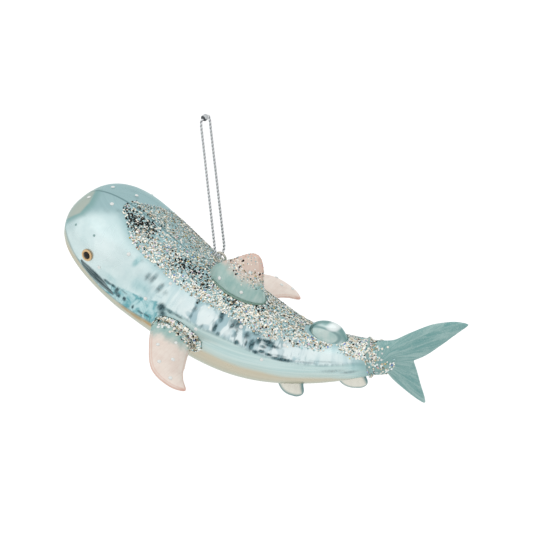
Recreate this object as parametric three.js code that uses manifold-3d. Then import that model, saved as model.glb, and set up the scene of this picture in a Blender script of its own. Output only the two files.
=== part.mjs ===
// A blown-glass whale shark ornament that hangs on a loop of cord. Millimetres, +Z up.
// The nose points to -X and the shark's left side to -Y. The origin is where the cord loop bears on its hook.

import * as THREE from 'three';
import { mergeVertices } from 'three/addons/utils/BufferGeometryUtils.js';
import Module from 'manifold-3d';

const wasm = await Module();
wasm.setup();

// Fits
const SEAT_GAP = 0.3; // between a piece and the surface that it is glued or fitted to

// The spine of the glass body, from the snout to the end of the tail stalk
const BODY_LENGTH = 137; // measured along the spine
const HEAD_PITCH = 33; // degrees that the fore body points up
const TAIL_PITCH = -2; // degrees that the tail stalk points up
const SNOUT_DROOP = 20; // degrees that the snout bends down again
const TAIL_SWING = 27.5; // degrees that the tail turns to the shark's right

// Sections of the glass body at equal fifths of its length
const HEAD_HALF_WIDTH = 21.7;
const HEAD_CROWN = 17.6;
const HEAD_KEEL = 18.8;
const SHOULDER_HALF_WIDTH = 20;
const SHOULDER_CROWN = 17.6;
const SHOULDER_KEEL = 18.4;
const WAIST_HALF_WIDTH = 17;
const WAIST_CROWN = 17.9;
const WAIST_KEEL = 16.8;
const LOIN_HALF_WIDTH = 11.5;
const LOIN_CROWN = 11;
const LOIN_KEEL = 10.9;
const STALK_HALF_WIDTH = 6;
const STALK_CROWN = 5.9;
const STALK_KEEL = 5.3;
const HEAD_SQUARENESS = 0.5; // how far the head's section departs from an ellipse

// Ends and relief of the glass body
const SNOUT_ROUND_SIDE = 25.5; // length over which the width rounds in at the snout
const SNOUT_ROUND_CROWN = 33.5;
const SNOUT_ROUND_KEEL = 38.5;
const SNOUT_BLUNT_SIDE = 2.8; // exponents of the rounding, 2 is an ellipse
const SNOUT_BLUNT_CROWN = 2.65;
const SNOUT_BLUNT_KEEL = 1.55;
const STALK_END_ROUND = 6; // length over which the stalk rounds in inside the tail fin
const BACK_RIDGE = 0.6; // height of the seam ridge along the crown of the head
const HEAD_WALL = 0.95; // the blown wall is thinnest where the glass swells most
const STALK_WALL = 2.05;
const MOUTH_REACH = 15; // how far the mouth crease runs back along each cheek
const MOUTH_ANGLE = 14; // degrees that the crease lies below the middle of the cheek
const MOUTH_RADIUS = 0.9;
const MOUTH_DEPTH = 0.6;

// Wire eye and its plug, measured from the middle of the spine
const HANGER_X = 1.3;
const HANGER_Y = 5;
const EYE_STANDOFF = 4.2; // from the back to the middle of the wire eye
const WIRE_RADIUS = 0.48;
const WIRE_EYE_RADIUS = 2.2; // to the middle of the wire
const LEG_SPREAD = 0.9; // from the middle of the plug to each leg
const LEG_FLARE = 2.6; // how far the leg ends spring outwards inside the glass
const LEG_LENGTH = 8; // below the back
const PLUG_RADIUS = 2.2;
const PLUG_DEPTH = 3.4;
const PLUG_PROUD = 0.7;

// Cord loop
const CORD_RADIUS = 0.5;
const LOOP_DROP = 57; // from the hook to the middle of the wire eye
const KNOT_RADIUS = 1.3;
const KNOT_LENGTH = 2.4;

// Painted eyes
const EYE_SHARE = 0.139; // share of the spine's length from the snout
const EYE_LIFT = 7.5; // degrees above the middle of the cheek
const IRIS_RADIUS = 2.4;
const IRIS_HOLE = 1.5;
const IRIS_PROUD = 0.9;
const PUPIL_DOME = 0.7; // rise of the pupil's dome above its rim
const EYE_SINK = 1.5; // depth below the glass before the back is trimmed to it

// Glue beads round the fin roots
const DORSAL_BEAD_RADIUS = 0.9;
const PECTORAL_BEAD_RADIUS = 1.5;
const TAIL_BEAD_RADIUS = 0.8;

// Tail fin socket over the end of the stalk
const SOCKET_LENGTH = 4.5;
const SOCKET_LIP = 0.5; // how far the socket stands out from the stalk

// Facets
const BODY_RINGS = 44;
const BODY_SIDES = 32;
const FIN_RINGS = 12;
const FIN_SIDES = 18;
const CORD_STEPS = 64;
const WIRE_STEPS = 48;
const BEAD_STEPS = 28;
const TUBE_SIDES = 8;
const ROUND_SIDES = 20;
const DOME_STEPS = 5;
const MOUTH_STEPS = 24;

// Fins: points run from the root to the tip as aft, out, half chord, half thickness.
// Out is measured from the glass, so the first point lies under it. A share is of the spine's length.
const FIN_TIP_BLUNT = 10; // exponent of the rounding at every fin tip
const DORSAL_SHARE = 0.54;
const DORSAL_FIN = [
  [-1.2, -9, 14, 7],
  [-1, 0.3, 12.3, 5.6],
  [0.6, 8.8, 7.2, 3.3],
  [2.2, 17.4, 3.4, 1.9],
];
const PECTORAL_SHARE_LEFT = 0.445;
const PECTORAL_SHARE_RIGHT = 0.471;
const PECTORAL_ROOT_ANGLE = 3; // degrees that the roots lie below the middle of the flank
const PECTORAL_DROOP_LEFT = 3; // degrees that each fin hangs below level, as it was glued by hand
const PECTORAL_DROOP_RIGHT = 6.5;
const PECTORAL_FIN = [
  [0.6, -7, 9.6, 3.8],
  [1.5, 1.8, 8.7, 3.3],
  [5.2, 10.3, 7.5, 2.5],
  [10.3, 16.6, 5.9, 1.9],
  [15.5, 19.6, 3.9, 1.5],
  [20.6, 20.4, 1.8, 1.2],
];
const SECOND_DORSAL_SHARE = 0.8;
const SECOND_DORSAL_FIN = [
  [5.8, -8, 10, 5.6],
  [6.6, -4, 9.8, 5],
  [8.6, -1, 8, 3.8],
  [11.2, 1, 5.2, 2.4],
];
const PELVIC_SHARE = 0.765;
const PELVIC_ROOT_ANGLE = 66; // degrees below the middle of the flank
const PELVIC_FIN = [
  [-1.2, -3, 7.2, 2.8],
  [-0.7, 0.6, 5.9, 2.2],
  [1.6, 2.4, 3.7, 1.6],
  [3.2, 3.6, 1.9, 1.1],
];
const ANAL_BEFORE_END = 11.6; // from the end of the spine
const ANAL_FIN = [
  [-1.5, -3, 7.5, 2.6],
  [-1, 0.4, 6.5, 2],
  [1.6, 2.2, 4.2, 1.5],
  [3.6, 3.8, 2, 1.1],
];
// The tail fin's points are measured from the end of the spine.
const TAIL_UPPER_LOBE = [
  [-2, 1, 6, 3.4],
  [5, 1.9, 5.2, 2.8],
  [12, 4.4, 5.6, 2.1],
  [20, 8.3, 4.7, 1.7],
  [27, 10.8, 2.8, 1.3],
  [32.3, 11.8, 1.2, 0.9],
];
const TAIL_LOWER_LOBE = [
  [1, 2, 6, 3],
  [4, -2, 6, 2.6],
  [6.4, -7.6, 5.1, 2.1],
  [9.4, -14.2, 3.1, 1.5],
  [12.9, -21, 1.3, 0.9],
];

// Cord route as y, z: from the knot down the near strand, through the wire eye and up the far strand.
const CORD_ROUTE = [
  [-1.5, 1.3], [-2.3, 0.9], [-2.75, -0.6], [-2.8, -3], [-2.8, -10], [-2.85, -18], [-2.9, -26], [-2.9, -34],
  [-2.95, -42], [-2.95, -48], [-2.95, -53.15], [-2.55, -54.62], [-1.48, -55.7], [0, -56.1], [1.48, -55.7],
  [2.55, -54.62], [2.95, -53.15], [2.95, -48], [2.95, -42], [2.9, -34], [2.9, -26], [2.85, -18], [2.8, -10],
  [2.8, -3], [2.75, -0.6], [2.3, 0.9], [1.5, 1.3],
];

const UP = new THREE.Vector3(0, 0, 1);

const radians = THREE.MathUtils.degToRad;

function smoothstep(from, to, value) {
  return THREE.MathUtils.smoothstep(value, from, to);
}

// Closed solids

function loft(rings, start, end) {
  const sides = rings[0].length;
  const points = [start, ...rings.flat(), end];
  const last = points.length - 1;
  const index = [];
  for (let side = 0; side < sides; side += 1) {
    const next = (side + 1) % sides;
    index.push(0, 1 + side, 1 + next);
    for (let ring = 0; ring + 1 < rings.length; ring += 1) {
      const near = 1 + ring * sides;
      const far = near + sides;
      index.push(near + side, far + side, far + next);
      index.push(near + side, far + next, near + next);
    }
    index.push(last, last - sides + next, last - sides + side);
  }
  const geometry = new THREE.BufferGeometry().setFromPoints(points);
  geometry.setIndex(index);
  return geometry;
}

function solid(geometry) {
  const bare = geometry.clone();
  bare.deleteAttribute('normal');
  bare.deleteAttribute('uv');
  const merged = mergeVertices(bare, 1e-4);
  const corners = merged.index.array;
  const triVerts = [];
  for (let i = 0; i < corners.length; i += 3) {
    const [a, b, c] = corners.subarray(i, i + 3);
    if (a !== b && b !== c && c !== a) triVerts.push(a, b, c);
  }
  const vertProperties = new Float32Array(merged.attributes.position.array);
  const mesh = new wasm.Mesh({ numProp: 3, vertProperties, triVerts: new Uint32Array(triVerts) });
  return new wasm.Manifold(mesh);
}

function piece(name, shape, finish) {
  const { vertProperties, triVerts } = shape.getMesh();
  const geometry = new THREE.BufferGeometry();
  geometry.setAttribute('position', new THREE.BufferAttribute(new Float32Array(vertProperties), 3));
  geometry.setIndex(new THREE.BufferAttribute(new Uint32Array(triVerts), 1));
  geometry.computeVertexNormals();
  const mesh = new THREE.Mesh(geometry, new THREE.MeshStandardMaterial(finish));
  mesh.name = name;
  return mesh;
}

function tube(points, radius, steps) {
  const circle = new THREE.EllipseCurve(0, 0, radius, radius);
  const section = new THREE.Shape(circle.getPoints(TUBE_SIDES).slice(0, TUBE_SIDES));
  const extrudePath = new THREE.CatmullRomCurve3(points);
  return solid(new THREE.ExtrudeGeometry(section, { steps, extrudePath }));
}

function cylinder(radius, bottom, top) {
  const geometry = new THREE.CylinderGeometry(radius, radius, top.distanceTo(bottom), ROUND_SIDES);
  geometry.rotateX(Math.PI / 2);
  geometry.translate(...bottom.clone().add(top).multiplyScalar(0.5));
  return solid(geometry);
}

// The spine and skin of the glass body

function headingAt(share) {
  const pitch = THREE.MathUtils.lerp(HEAD_PITCH, TAIL_PITCH, smoothstep(0.3, 1, share))
    - SNOUT_DROOP * Math.max(0, 1 - share / 0.2) ** 2;
  const swing = TAIL_SWING * Math.max(0, (share - 0.2) / 0.8) ** 2;
  const level = Math.cos(radians(pitch));
  return new THREE.Vector3(
    -level * Math.cos(radians(swing)),
    -level * Math.sin(radians(swing)),
    Math.sin(radians(pitch)),
  );
}

const SPINE_STEPS = 200;
const spine = [new THREE.Vector3()];
for (let i = 1; i <= SPINE_STEPS; i += 1) {
  const heading = headingAt((i - 0.5) / SPINE_STEPS);
  spine.push(spine[i - 1].clone().addScaledVector(heading, -BODY_LENGTH / SPINE_STEPS));
}
const spineMiddle = spine[SPINE_STEPS / 2].clone();
spine.forEach((point) => point.sub(spineMiddle));

// The spine's place and its nose-ward, left and up directions at a share of its length
function stationAt(share) {
  const whole = THREE.MathUtils.clamp(share, 0, 1) * SPINE_STEPS;
  const before = Math.min(Math.floor(whole), SPINE_STEPS - 1);
  const origin = spine[before].clone().lerp(spine[before + 1], whole - before);
  const nose = headingAt(share);
  const left = UP.clone().cross(nose).normalize();
  return { origin, nose, left, up: nose.clone().cross(left) };
}

const sections = new THREE.CatmullRomCurve3([
  new THREE.Vector3(HEAD_HALF_WIDTH, HEAD_CROWN, HEAD_KEEL),
  new THREE.Vector3(HEAD_HALF_WIDTH, HEAD_CROWN, HEAD_KEEL),
  new THREE.Vector3(SHOULDER_HALF_WIDTH, SHOULDER_CROWN, SHOULDER_KEEL),
  new THREE.Vector3(WAIST_HALF_WIDTH, WAIST_CROWN, WAIST_KEEL),
  new THREE.Vector3(LOIN_HALF_WIDTH, LOIN_CROWN, LOIN_KEEL),
  new THREE.Vector3(STALK_HALF_WIDTH, STALK_CROWN, STALK_KEEL),
], false, 'catmullrom', 0.5);

function endRound(distance, reach, bluntness) {
  const share = Math.min(distance / reach, 1);
  return (1 - (1 - share) ** bluntness) ** (1 / bluntness);
}

function rootOf(value, power) {
  return Math.sign(value) * Math.abs(value) ** power;
}

// A point of the skin: 0 degrees is the middle of the left flank and 90 the crown of the back
function skinPoint(share, degrees) {
  const { origin, left, up } = stationAt(share);
  const { x: halfWidth, y: crown, z: keel } = sections.getPoint(share);
  const fromSnout = share * BODY_LENGTH;
  const stalkEnd = endRound(BODY_LENGTH - fromSnout, STALK_END_ROUND, 2);
  const power = 2 / (2 + HEAD_SQUARENESS * (1 - smoothstep(0, 0.6, share)));
  const across = rootOf(Math.cos(radians(degrees)), power);
  const above = rootOf(Math.sin(radians(degrees)), power);
  const side = halfWidth * endRound(fromSnout, SNOUT_ROUND_SIDE, SNOUT_BLUNT_SIDE);
  const top = crown * endRound(fromSnout, SNOUT_ROUND_CROWN, SNOUT_BLUNT_CROWN);
  const bottom = keel * endRound(fromSnout, SNOUT_ROUND_KEEL, SNOUT_BLUNT_KEEL);
  const ridge = BACK_RIDGE * (1 - smoothstep(0.35, 0.5, share)) * smoothstep(0, 0.05, share)
    * Math.max(0, 1 - Math.abs(degrees - 90) / 10);
  const height = above > 0 ? top * above + ridge : bottom * above;
  return origin.clone()
    .addScaledVector(left, side * across * stalkEnd)
    .addScaledVector(up, height * stalkEnd);
}

// The skin moved outwards by a distance that may change along its length, or inwards by a negative one
function bodySolid(offsetAt, rings, sides) {
  const shareOf = (ring) => 0.5 - 0.5 * Math.cos((Math.PI * ring) / rings);
  const hoops = [];
  for (let ring = 1; ring < rings; ring += 1) {
    const hoop = [];
    for (let side = 0; side < sides; side += 1) {
      hoop.push(skinPoint(shareOf(ring), (360 * side) / sides));
    }
    hoops.push(hoop);
  }
  const geometry = loft(hoops, skinPoint(0, 0), skinPoint(1, 0));
  geometry.computeVertexNormals();
  const { position, normal } = geometry.attributes;
  for (let i = 0; i < position.count; i += 1) {
    const offset = offsetAt(shareOf(Math.ceil(i / sides)));
    position.setXYZ(
      i,
      position.getX(i) + offset * normal.getX(i),
      position.getY(i) + offset * normal.getY(i),
      position.getZ(i) + offset * normal.getZ(i),
    );
  }
  return solid(geometry);
}

const skin = bodySolid(() => 0, BODY_RINGS, BODY_SIDES);
const skinClear = bodySolid(() => SEAT_GAP, BODY_RINGS, BODY_SIDES);
const skinMesh = piece('skin', skin, {});

function cavity() {
  const wallAt = (share) => THREE.MathUtils.lerp(HEAD_WALL, STALK_WALL, share);
  return bodySolid((share) => -wallAt(share), BODY_RINGS / 2, BODY_SIDES / 2);
}

// Fins

// Where a fin stands on the skin: aft along the spine, out along its lean, and square to both
function finSeat(share, degrees, lean) {
  const { nose, left, up } = stationAt(share);
  const out = left.clone().multiplyScalar(Math.cos(radians(lean)))
    .addScaledVector(up, Math.sin(radians(lean)));
  return { origin: skinPoint(share, degrees), aft: nose.negate(), out };
}

// The surface of a fin with elliptical sections square to its curved midline, swelled by a margin
function finSurface(seat, points, margin) {
  const thick = seat.aft.clone().cross(seat.out);
  const midline = new THREE.CatmullRomCurve3(points.map(([aft, out]) => new THREE.Vector3(aft, out, 0)));
  const sizes = new THREE.CatmullRomCurve3(
    points.map(([, , chord, depth]) => new THREE.Vector3(chord, depth, 0)),
  );
  const place = (along, away, across) => seat.origin.clone()
    .addScaledVector(seat.aft, along)
    .addScaledVector(seat.out, away)
    .addScaledVector(thick, across);
  const pointAt = (share, turn) => {
    const middle = midline.getPoint(share);
    const run = midline.getTangent(share);
    const size = sizes.getPoint(share);
    const tipRound = Math.sqrt(1 - share ** FIN_TIP_BLUNT);
    const chord = Math.cos(turn) * (size.x * tipRound + margin);
    const depth = Math.sin(turn) * (size.y * tipRound + margin);
    return place(middle.x + chord * run.y, middle.y - chord * run.x, depth);
  };
  const root = midline.getPoint(0);
  const tip = midline.getPoint(1).addScaledVector(midline.getTangent(1), margin);
  return { pointAt, root: place(root.x, root.y, 0), tip: place(tip.x, tip.y, 0) };
}

function finSolid(seat, points, margin = 0) {
  const { pointAt, root, tip } = finSurface(seat, points, margin);
  const rings = [];
  for (let i = 0; i < FIN_RINGS; i += 1) {
    const share = 1 - (1 - i / FIN_RINGS) ** 1.6;
    const ring = [];
    for (let side = 0; side < FIN_SIDES; side += 1) {
      ring.push(pointAt(share, (2 * Math.PI * side) / FIN_SIDES));
    }
    rings.push(ring);
  }
  return solid(loft(rings, root, tip));
}

const dorsalSeat = finSeat(DORSAL_SHARE, 90, 90);
const pectoralSeats = {
  left: finSeat(PECTORAL_SHARE_LEFT, -PECTORAL_ROOT_ANGLE, -PECTORAL_DROOP_LEFT),
  right: finSeat(PECTORAL_SHARE_RIGHT, 180 + PECTORAL_ROOT_ANGLE, 180 + PECTORAL_DROOP_RIGHT),
};
const mouldedFins = [
  [finSeat(SECOND_DORSAL_SHARE, 90, 90), SECOND_DORSAL_FIN],
  [finSeat(1 - ANAL_BEFORE_END / BODY_LENGTH, 270, 270), ANAL_FIN],
  [finSeat(PELVIC_SHARE, -PELVIC_ROOT_ANGLE, -PELVIC_ROOT_ANGLE), PELVIC_FIN],
  [finSeat(PELVIC_SHARE, 180 + PELVIC_ROOT_ANGLE, 180 + PELVIC_ROOT_ANGLE), PELVIC_FIN],
];

// The skin with its moulded fins, swelled by a margin
function withMouldedFins(body, margin) {
  return mouldedFins.reduce((sum, [seat, points]) => sum.add(finSolid(seat, points, margin)), body);
}

const glassOutside = withMouldedFins(skin, 0);
const glassClear = withMouldedFins(skinClear, SEAT_GAP);

const tailStation = stationAt(1);
const tailSeat = { origin: tailStation.origin, aft: tailStation.nose.clone().negate(), out: tailStation.up };
const socketHalfHeight = STALK_CROWN + SOCKET_LIP;
const socketHalfWidth = STALK_HALF_WIDTH + SOCKET_LIP;
const tailSocket = [
  [-SOCKET_LENGTH, 0, socketHalfHeight, socketHalfWidth],
  [-SOCKET_LENGTH / 3, 0, socketHalfHeight, socketHalfWidth],
  [SOCKET_LENGTH / 3, 0.3, socketHalfHeight, socketHalfWidth / 1.5],
  [SOCKET_LENGTH, 0.7, STALK_CROWN, socketHalfWidth / 2.5],
];

function seated(seat, points) {
  return finSolid(seat, points).subtract(glassClear);
}

// A bead of glue of round section along a closed line, trimmed to the glass
function bead(line, radius) {
  const path = new THREE.CatmullRomCurve3(line, true);
  return solid(new THREE.TubeGeometry(path, BEAD_STEPS, radius, TUBE_SIDES, true)).subtract(glassClear);
}

// The bead in the corner between a fin and the glass
function finBead(seat, points, radius) {
  const { pointAt } = finSurface(seat, points, SEAT_GAP);
  const corner = [];
  for (let side = 0; side < FIN_SIDES; side += 1) {
    const turn = (2 * Math.PI * side) / FIN_SIDES;
    const outside = pointAt(0.5, turn);
    const inwards = pointAt(0, turn).sub(outside).normalize();
    corner.push(new THREE.Raycaster(outside, inwards).intersectObject(skinMesh)[0].point);
  }
  return bead(corner, radius).subtract(finSolid(seat, points, SEAT_GAP));
}

function tailBead() {
  const share = 1 - (SOCKET_LENGTH + SEAT_GAP + TAIL_BEAD_RADIUS) / BODY_LENGTH;
  const line = [];
  for (let side = 0; side < FIN_SIDES; side += 1) {
    line.push(skinPoint(share, (360 * side) / FIN_SIDES));
  }
  return bead(line, TAIL_BEAD_RADIUS);
}

// The wire eye, its plug and the blowing hole that they close

const overhead = new THREE.Vector3(HANGER_X, HANGER_Y, BODY_LENGTH);
const plumbLine = new THREE.Raycaster(overhead, UP.clone().negate());
const backHeight = plumbLine.intersectObject(skinMesh)[0].point.z;
const wireEye = new THREE.Vector3(HANGER_X, HANGER_Y, backHeight + EYE_STANDOFF);

function plugColumn(radius) {
  const bottom = new THREE.Vector3(HANGER_X, HANGER_Y, backHeight - LEG_LENGTH);
  return cylinder(radius, bottom, wireEye);
}

function hangerWire() {
  const half = [
    [LEG_SPREAD + LEG_FLARE, -EYE_STANDOFF - LEG_LENGTH],
    [LEG_SPREAD, -EYE_STANDOFF - PLUG_DEPTH - SEAT_GAP],
    [LEG_SPREAD, -EYE_STANDOFF - PLUG_DEPTH / 2],
    [LEG_SPREAD, -EYE_STANDOFF],
  ];
  const gap = Math.asin(LEG_SPREAD / WIRE_EYE_RADIUS);
  const arc = [];
  const arcPoints = 12;
  for (let i = 0; i <= arcPoints; i += 1) {
    const turn = -Math.PI / 2 - gap - ((2 * Math.PI - 2 * gap) * i) / arcPoints;
    arc.push([WIRE_EYE_RADIUS * Math.cos(turn), WIRE_EYE_RADIUS * Math.sin(turn)]);
  }
  const outline = [...half.map(([x, z]) => [-x, z]), ...arc, ...half.toReversed()];
  const points = outline.map(([x, z]) => wireEye.clone().add(new THREE.Vector3(x, 0, z)));
  return tube(points, WIRE_RADIUS, WIRE_STEPS);
}

function neckPlug() {
  const profile = [
    new THREE.Vector2(0, -PLUG_DEPTH),
    new THREE.Vector2(PLUG_RADIUS - SEAT_GAP, -PLUG_DEPTH),
    new THREE.Vector2(PLUG_RADIUS, -PLUG_DEPTH / 2),
    new THREE.Vector2(PLUG_RADIUS, PLUG_PROUD / 2),
    new THREE.Vector2(PLUG_RADIUS - PLUG_PROUD, PLUG_PROUD),
    new THREE.Vector2(0, PLUG_PROUD),
  ];
  const geometry = new THREE.LatheGeometry(profile, ROUND_SIDES);
  geometry.rotateX(Math.PI / 2);
  geometry.translate(HANGER_X, HANGER_Y, backHeight);
  const bores = [-LEG_SPREAD, LEG_SPREAD].map((shift) => cylinder(
    WIRE_RADIUS + SEAT_GAP,
    new THREE.Vector3(HANGER_X + shift, HANGER_Y, backHeight - LEG_LENGTH),
    new THREE.Vector3(HANGER_X + shift, HANGER_Y, wireEye.z),
  ));
  return bores.reduce((plug, bore) => plug.subtract(bore), solid(geometry));
}

// The dorsal fin's bead is one run of glue, open where it meets the plug
function dorsalBead() {
  const ring = finBead(dorsalSeat, DORSAL_FIN, DORSAL_BEAD_RADIUS);
  const runs = ring.subtract(plugColumn(PLUG_RADIUS + DORSAL_BEAD_RADIUS)).decompose();
  return runs.reduce((longest, run) => (run.volume() > longest.volume() ? run : longest));
}

// Eyes

function skinNormal(share, degrees) {
  const step = 0.01;
  const middle = THREE.MathUtils.clamp(share, step, 1 - step);
  const along = skinPoint(middle + step, degrees).sub(skinPoint(middle - step, degrees));
  const around = skinPoint(middle, degrees + 1).sub(skinPoint(middle, degrees - 1));
  return along.cross(around).normalize();
}

function onCheek(profile, degrees) {
  const geometry = new THREE.LatheGeometry(profile, ROUND_SIDES);
  const latheAxis = new THREE.Vector3(0, 1, 0);
  const outwards = skinNormal(EYE_SHARE, degrees);
  geometry.applyQuaternion(new THREE.Quaternion().setFromUnitVectors(latheAxis, outwards));
  geometry.translate(...skinPoint(EYE_SHARE, degrees));
  return solid(geometry).subtract(skinClear);
}

const irisProfile = [
  [IRIS_HOLE, -EYE_SINK],
  [IRIS_RADIUS, -EYE_SINK],
  [IRIS_RADIUS, IRIS_PROUD / 2],
  [(IRIS_RADIUS + IRIS_HOLE) / 2, IRIS_PROUD],
  [IRIS_HOLE, IRIS_PROUD * 0.8],
  [IRIS_HOLE, -EYE_SINK],
].map(([radius, height]) => new THREE.Vector2(radius, height));

const pupilRadius = IRIS_HOLE - SEAT_GAP;
const pupilProfile = [new THREE.Vector2(0, -EYE_SINK), new THREE.Vector2(pupilRadius, -EYE_SINK)];
for (let i = 0; i <= DOME_STEPS; i += 1) {
  const turn = (Math.PI / 2) * (i / DOME_STEPS);
  const radius = i === DOME_STEPS ? 0 : pupilRadius * Math.cos(turn);
  pupilProfile.push(new THREE.Vector2(radius, IRIS_PROUD + PUPIL_DOME * Math.sin(turn)));
}

// The glass shell

function mouthCrease() {
  const points = [];
  const half = 6;
  for (let i = -half; i <= half; i += 1) {
    const share = (MOUTH_REACH / BODY_LENGTH) * Math.abs(i / half) ** 1.5;
    const degrees = i < 0 ? -MOUTH_ANGLE : 180 + MOUTH_ANGLE;
    const outwards = i === 0 ? stationAt(share).nose : skinNormal(share, degrees);
    points.push(skinPoint(share, degrees).addScaledVector(outwards, MOUTH_RADIUS - MOUTH_DEPTH));
  }
  return tube(points, MOUTH_RADIUS, MOUTH_STEPS);
}

function glassBody() {
  return glassOutside
    .subtract(cavity())
    .subtract(plugColumn(PLUG_RADIUS + SEAT_GAP))
    .subtract(mouthCrease());
}

function caudalFin() {
  return finSolid(tailSeat, TAIL_UPPER_LOBE)
    .add(finSolid(tailSeat, TAIL_LOWER_LOBE))
    .add(finSolid(tailSeat, tailSocket))
    .subtract(glassClear);
}

function cordKnot() {
  const profile = [
    new THREE.Vector2(0, -KNOT_LENGTH / 2),
    new THREE.Vector2(CORD_RADIUS, -KNOT_LENGTH / 2),
    new THREE.Vector2(KNOT_RADIUS, -KNOT_LENGTH / 5),
    new THREE.Vector2(KNOT_RADIUS, KNOT_LENGTH / 5),
    new THREE.Vector2(CORD_RADIUS, KNOT_LENGTH / 2),
    new THREE.Vector2(0, KNOT_LENGTH / 2),
  ];
  const geometry = new THREE.LatheGeometry(profile, TUBE_SIDES);
  geometry.translate(0, 0, KNOT_RADIUS);
  return solid(geometry);
}

// Finishes

const GLASS = { color: 0x9fd0d4, roughness: 0.08, metalness: 0.85 };
const PINK_PAINT = { color: 0xe3c3b8, roughness: 0.45, metalness: 0.1 };
const TEAL_PAINT = { color: 0x86b9bb, roughness: 0.5, metalness: 0.1 };
const GLITTER_GLUE = { color: 0xcfcabc, roughness: 0.4, metalness: 0.5 };
const SILVER = { color: 0xc8ccce, roughness: 0.3, metalness: 0.9 };
const AMBER = { color: 0xc98a4b, roughness: 0.3, metalness: 0.2 };
const BLACK = { color: 0x0a0a0b, roughness: 0.1, metalness: 0 };
const RESIN = { color: 0xd8d6cc, roughness: 0.4, metalness: 0 };

const shark = new THREE.Group();
const plugClear = plugColumn(PLUG_RADIUS + SEAT_GAP);
shark.add(
  piece('glass_body', glassBody(), GLASS),
  piece('neck_plug', neckPlug(), RESIN),
  piece('hanger_wire', hangerWire(), SILVER),
  piece('dorsal_fin', seated(dorsalSeat, DORSAL_FIN).subtract(plugClear), PINK_PAINT),
  piece('dorsal_seat_bead', dorsalBead(), GLITTER_GLUE),
  piece('caudal_fin', caudalFin(), TEAL_PAINT),
  piece('tail_seat_bead', tailBead(), GLITTER_GLUE),
);
for (const [side, seat] of Object.entries(pectoralSeats)) {
  shark.add(
    piece(`pectoral_fin_${side}`, seated(seat, PECTORAL_FIN), PINK_PAINT),
    piece(`pectoral_seat_bead_${side}`, finBead(seat, PECTORAL_FIN, PECTORAL_BEAD_RADIUS), GLITTER_GLUE),
  );
}
for (const [side, degrees] of [['left', EYE_LIFT], ['right', 180 - EYE_LIFT]]) {
  shark.add(
    piece(`iris_${side}`, onCheek(irisProfile, degrees), AMBER),
    piece(`pupil_${side}`, onCheek(pupilProfile, degrees), BLACK),
  );
}
shark.position.set(-wireEye.x, -wireEye.y, -wireEye.z - LOOP_DROP);

const cordPoints = CORD_ROUTE.map(([y, z]) => new THREE.Vector3(0, y, z));
const ornament = new THREE.Group();
ornament.add(
  shark,
  piece('hanging_cord', tube(cordPoints, CORD_RADIUS, CORD_STEPS), SILVER),
  piece('cord_knot', cordKnot(), SILVER),
);

export default ornament;
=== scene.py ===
import math
import bpy
import numpy as np
from mathutils import Matrix, Vector


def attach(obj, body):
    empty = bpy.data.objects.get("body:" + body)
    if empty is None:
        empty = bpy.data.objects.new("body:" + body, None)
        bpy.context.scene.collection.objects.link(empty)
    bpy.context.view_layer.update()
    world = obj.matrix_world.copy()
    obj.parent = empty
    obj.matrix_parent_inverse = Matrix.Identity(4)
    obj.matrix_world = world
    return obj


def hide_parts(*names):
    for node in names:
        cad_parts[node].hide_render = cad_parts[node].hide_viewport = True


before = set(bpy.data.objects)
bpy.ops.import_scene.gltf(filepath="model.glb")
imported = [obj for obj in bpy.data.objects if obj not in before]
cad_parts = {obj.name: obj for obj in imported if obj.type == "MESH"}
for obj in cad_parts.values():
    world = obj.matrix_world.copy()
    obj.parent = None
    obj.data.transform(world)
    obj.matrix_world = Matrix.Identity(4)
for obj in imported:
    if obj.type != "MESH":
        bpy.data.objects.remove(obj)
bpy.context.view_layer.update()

MM = 0.001
rng = np.random.default_rng(7)

# Sizes of the ornament in millimetres and degrees, in the frame of the CAD model

# The middle of the spine, its length, how it pitches and swings, and the shares where that begins or ends
PLACE = np.array([-1.3, -5.0, -79.837])
BODY_LENGTH = 137.0
HEAD_PITCH, TAIL_PITCH, SNOUT_DROOP, TAIL_SWING = 33.0, -2.0, 20.0, 27.5
PITCH_FROM, DROOP_TO, SWING_FROM = 0.3, 0.2, 0.2
# In even steps from nose to tail: half width, height above the spine, depth below it
SECTIONS = [
    (21.7, 17.6, 18.8), (21.7, 17.6, 18.8), (20.0, 17.6, 18.4),
    (17.0, 17.9, 16.8), (11.5, 11.0, 10.9), (6.0, 5.9, 5.3),
]
# How the nose and the tail stalk close: reach and bluntness
NOSE_SIDES, NOSE_TOP, NOSE_UNDER, STALK_END = (25.5, 2.8), (33.5, 2.65), (38.5, 1.55), (6, 2)
# The head is squarer than the tail, with a low ridge along its crown and a crease for the mouth
HEAD_SQUARENESS = 0.5
RIDGE_HEIGHT, RIDGE_HALF_TURN = 0.6, 10
MOUTH_DEPTH, MOUTH_HALF_WIDTH, MOUTH_TURN = 0.6, 0.7, -14
# Fins from root to tip: aft, out, half length, half thickness
DORSAL = [(-1.2, -9, 14, 7), (-1, 0.3, 12.3, 5.6), (0.6, 8.8, 7.2, 3.3), (2.2, 17.4, 3.4, 1.9)]
PECTORAL = [
    (0.6, -7, 9.6, 3.8), (1.5, 1.8, 8.7, 3.3), (5.2, 10.3, 7.5, 2.5),
    (9.9, 17.1, 6.6, 1.9), (15.3, 20, 4.2, 1.5), (20.6, 20.7, 1.9, 1.2),
]
SECOND_DORSAL = [(5.3, -8, 9.4, 5.2), (5.2, -4, 9, 4.7), (5.2, 0, 7.2, 3.8), (5.2, 4.3, 5.4, 2.5)]
PELVIC = [(-1.8, -3, 7.6, 2.8), (-1.2, 0.2, 5.3, 2.2), (1, 2.2, 3.3, 1.6), (3.3, 3.4, 1.6, 1.1)]
ANAL = [(-1.8, -3, 7.5, 2.6), (-1.2, 0.2, 5.8, 2), (1.3, 2.3, 3.7, 1.5), (3.9, 3.7, 1.9, 1.1)]
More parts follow.
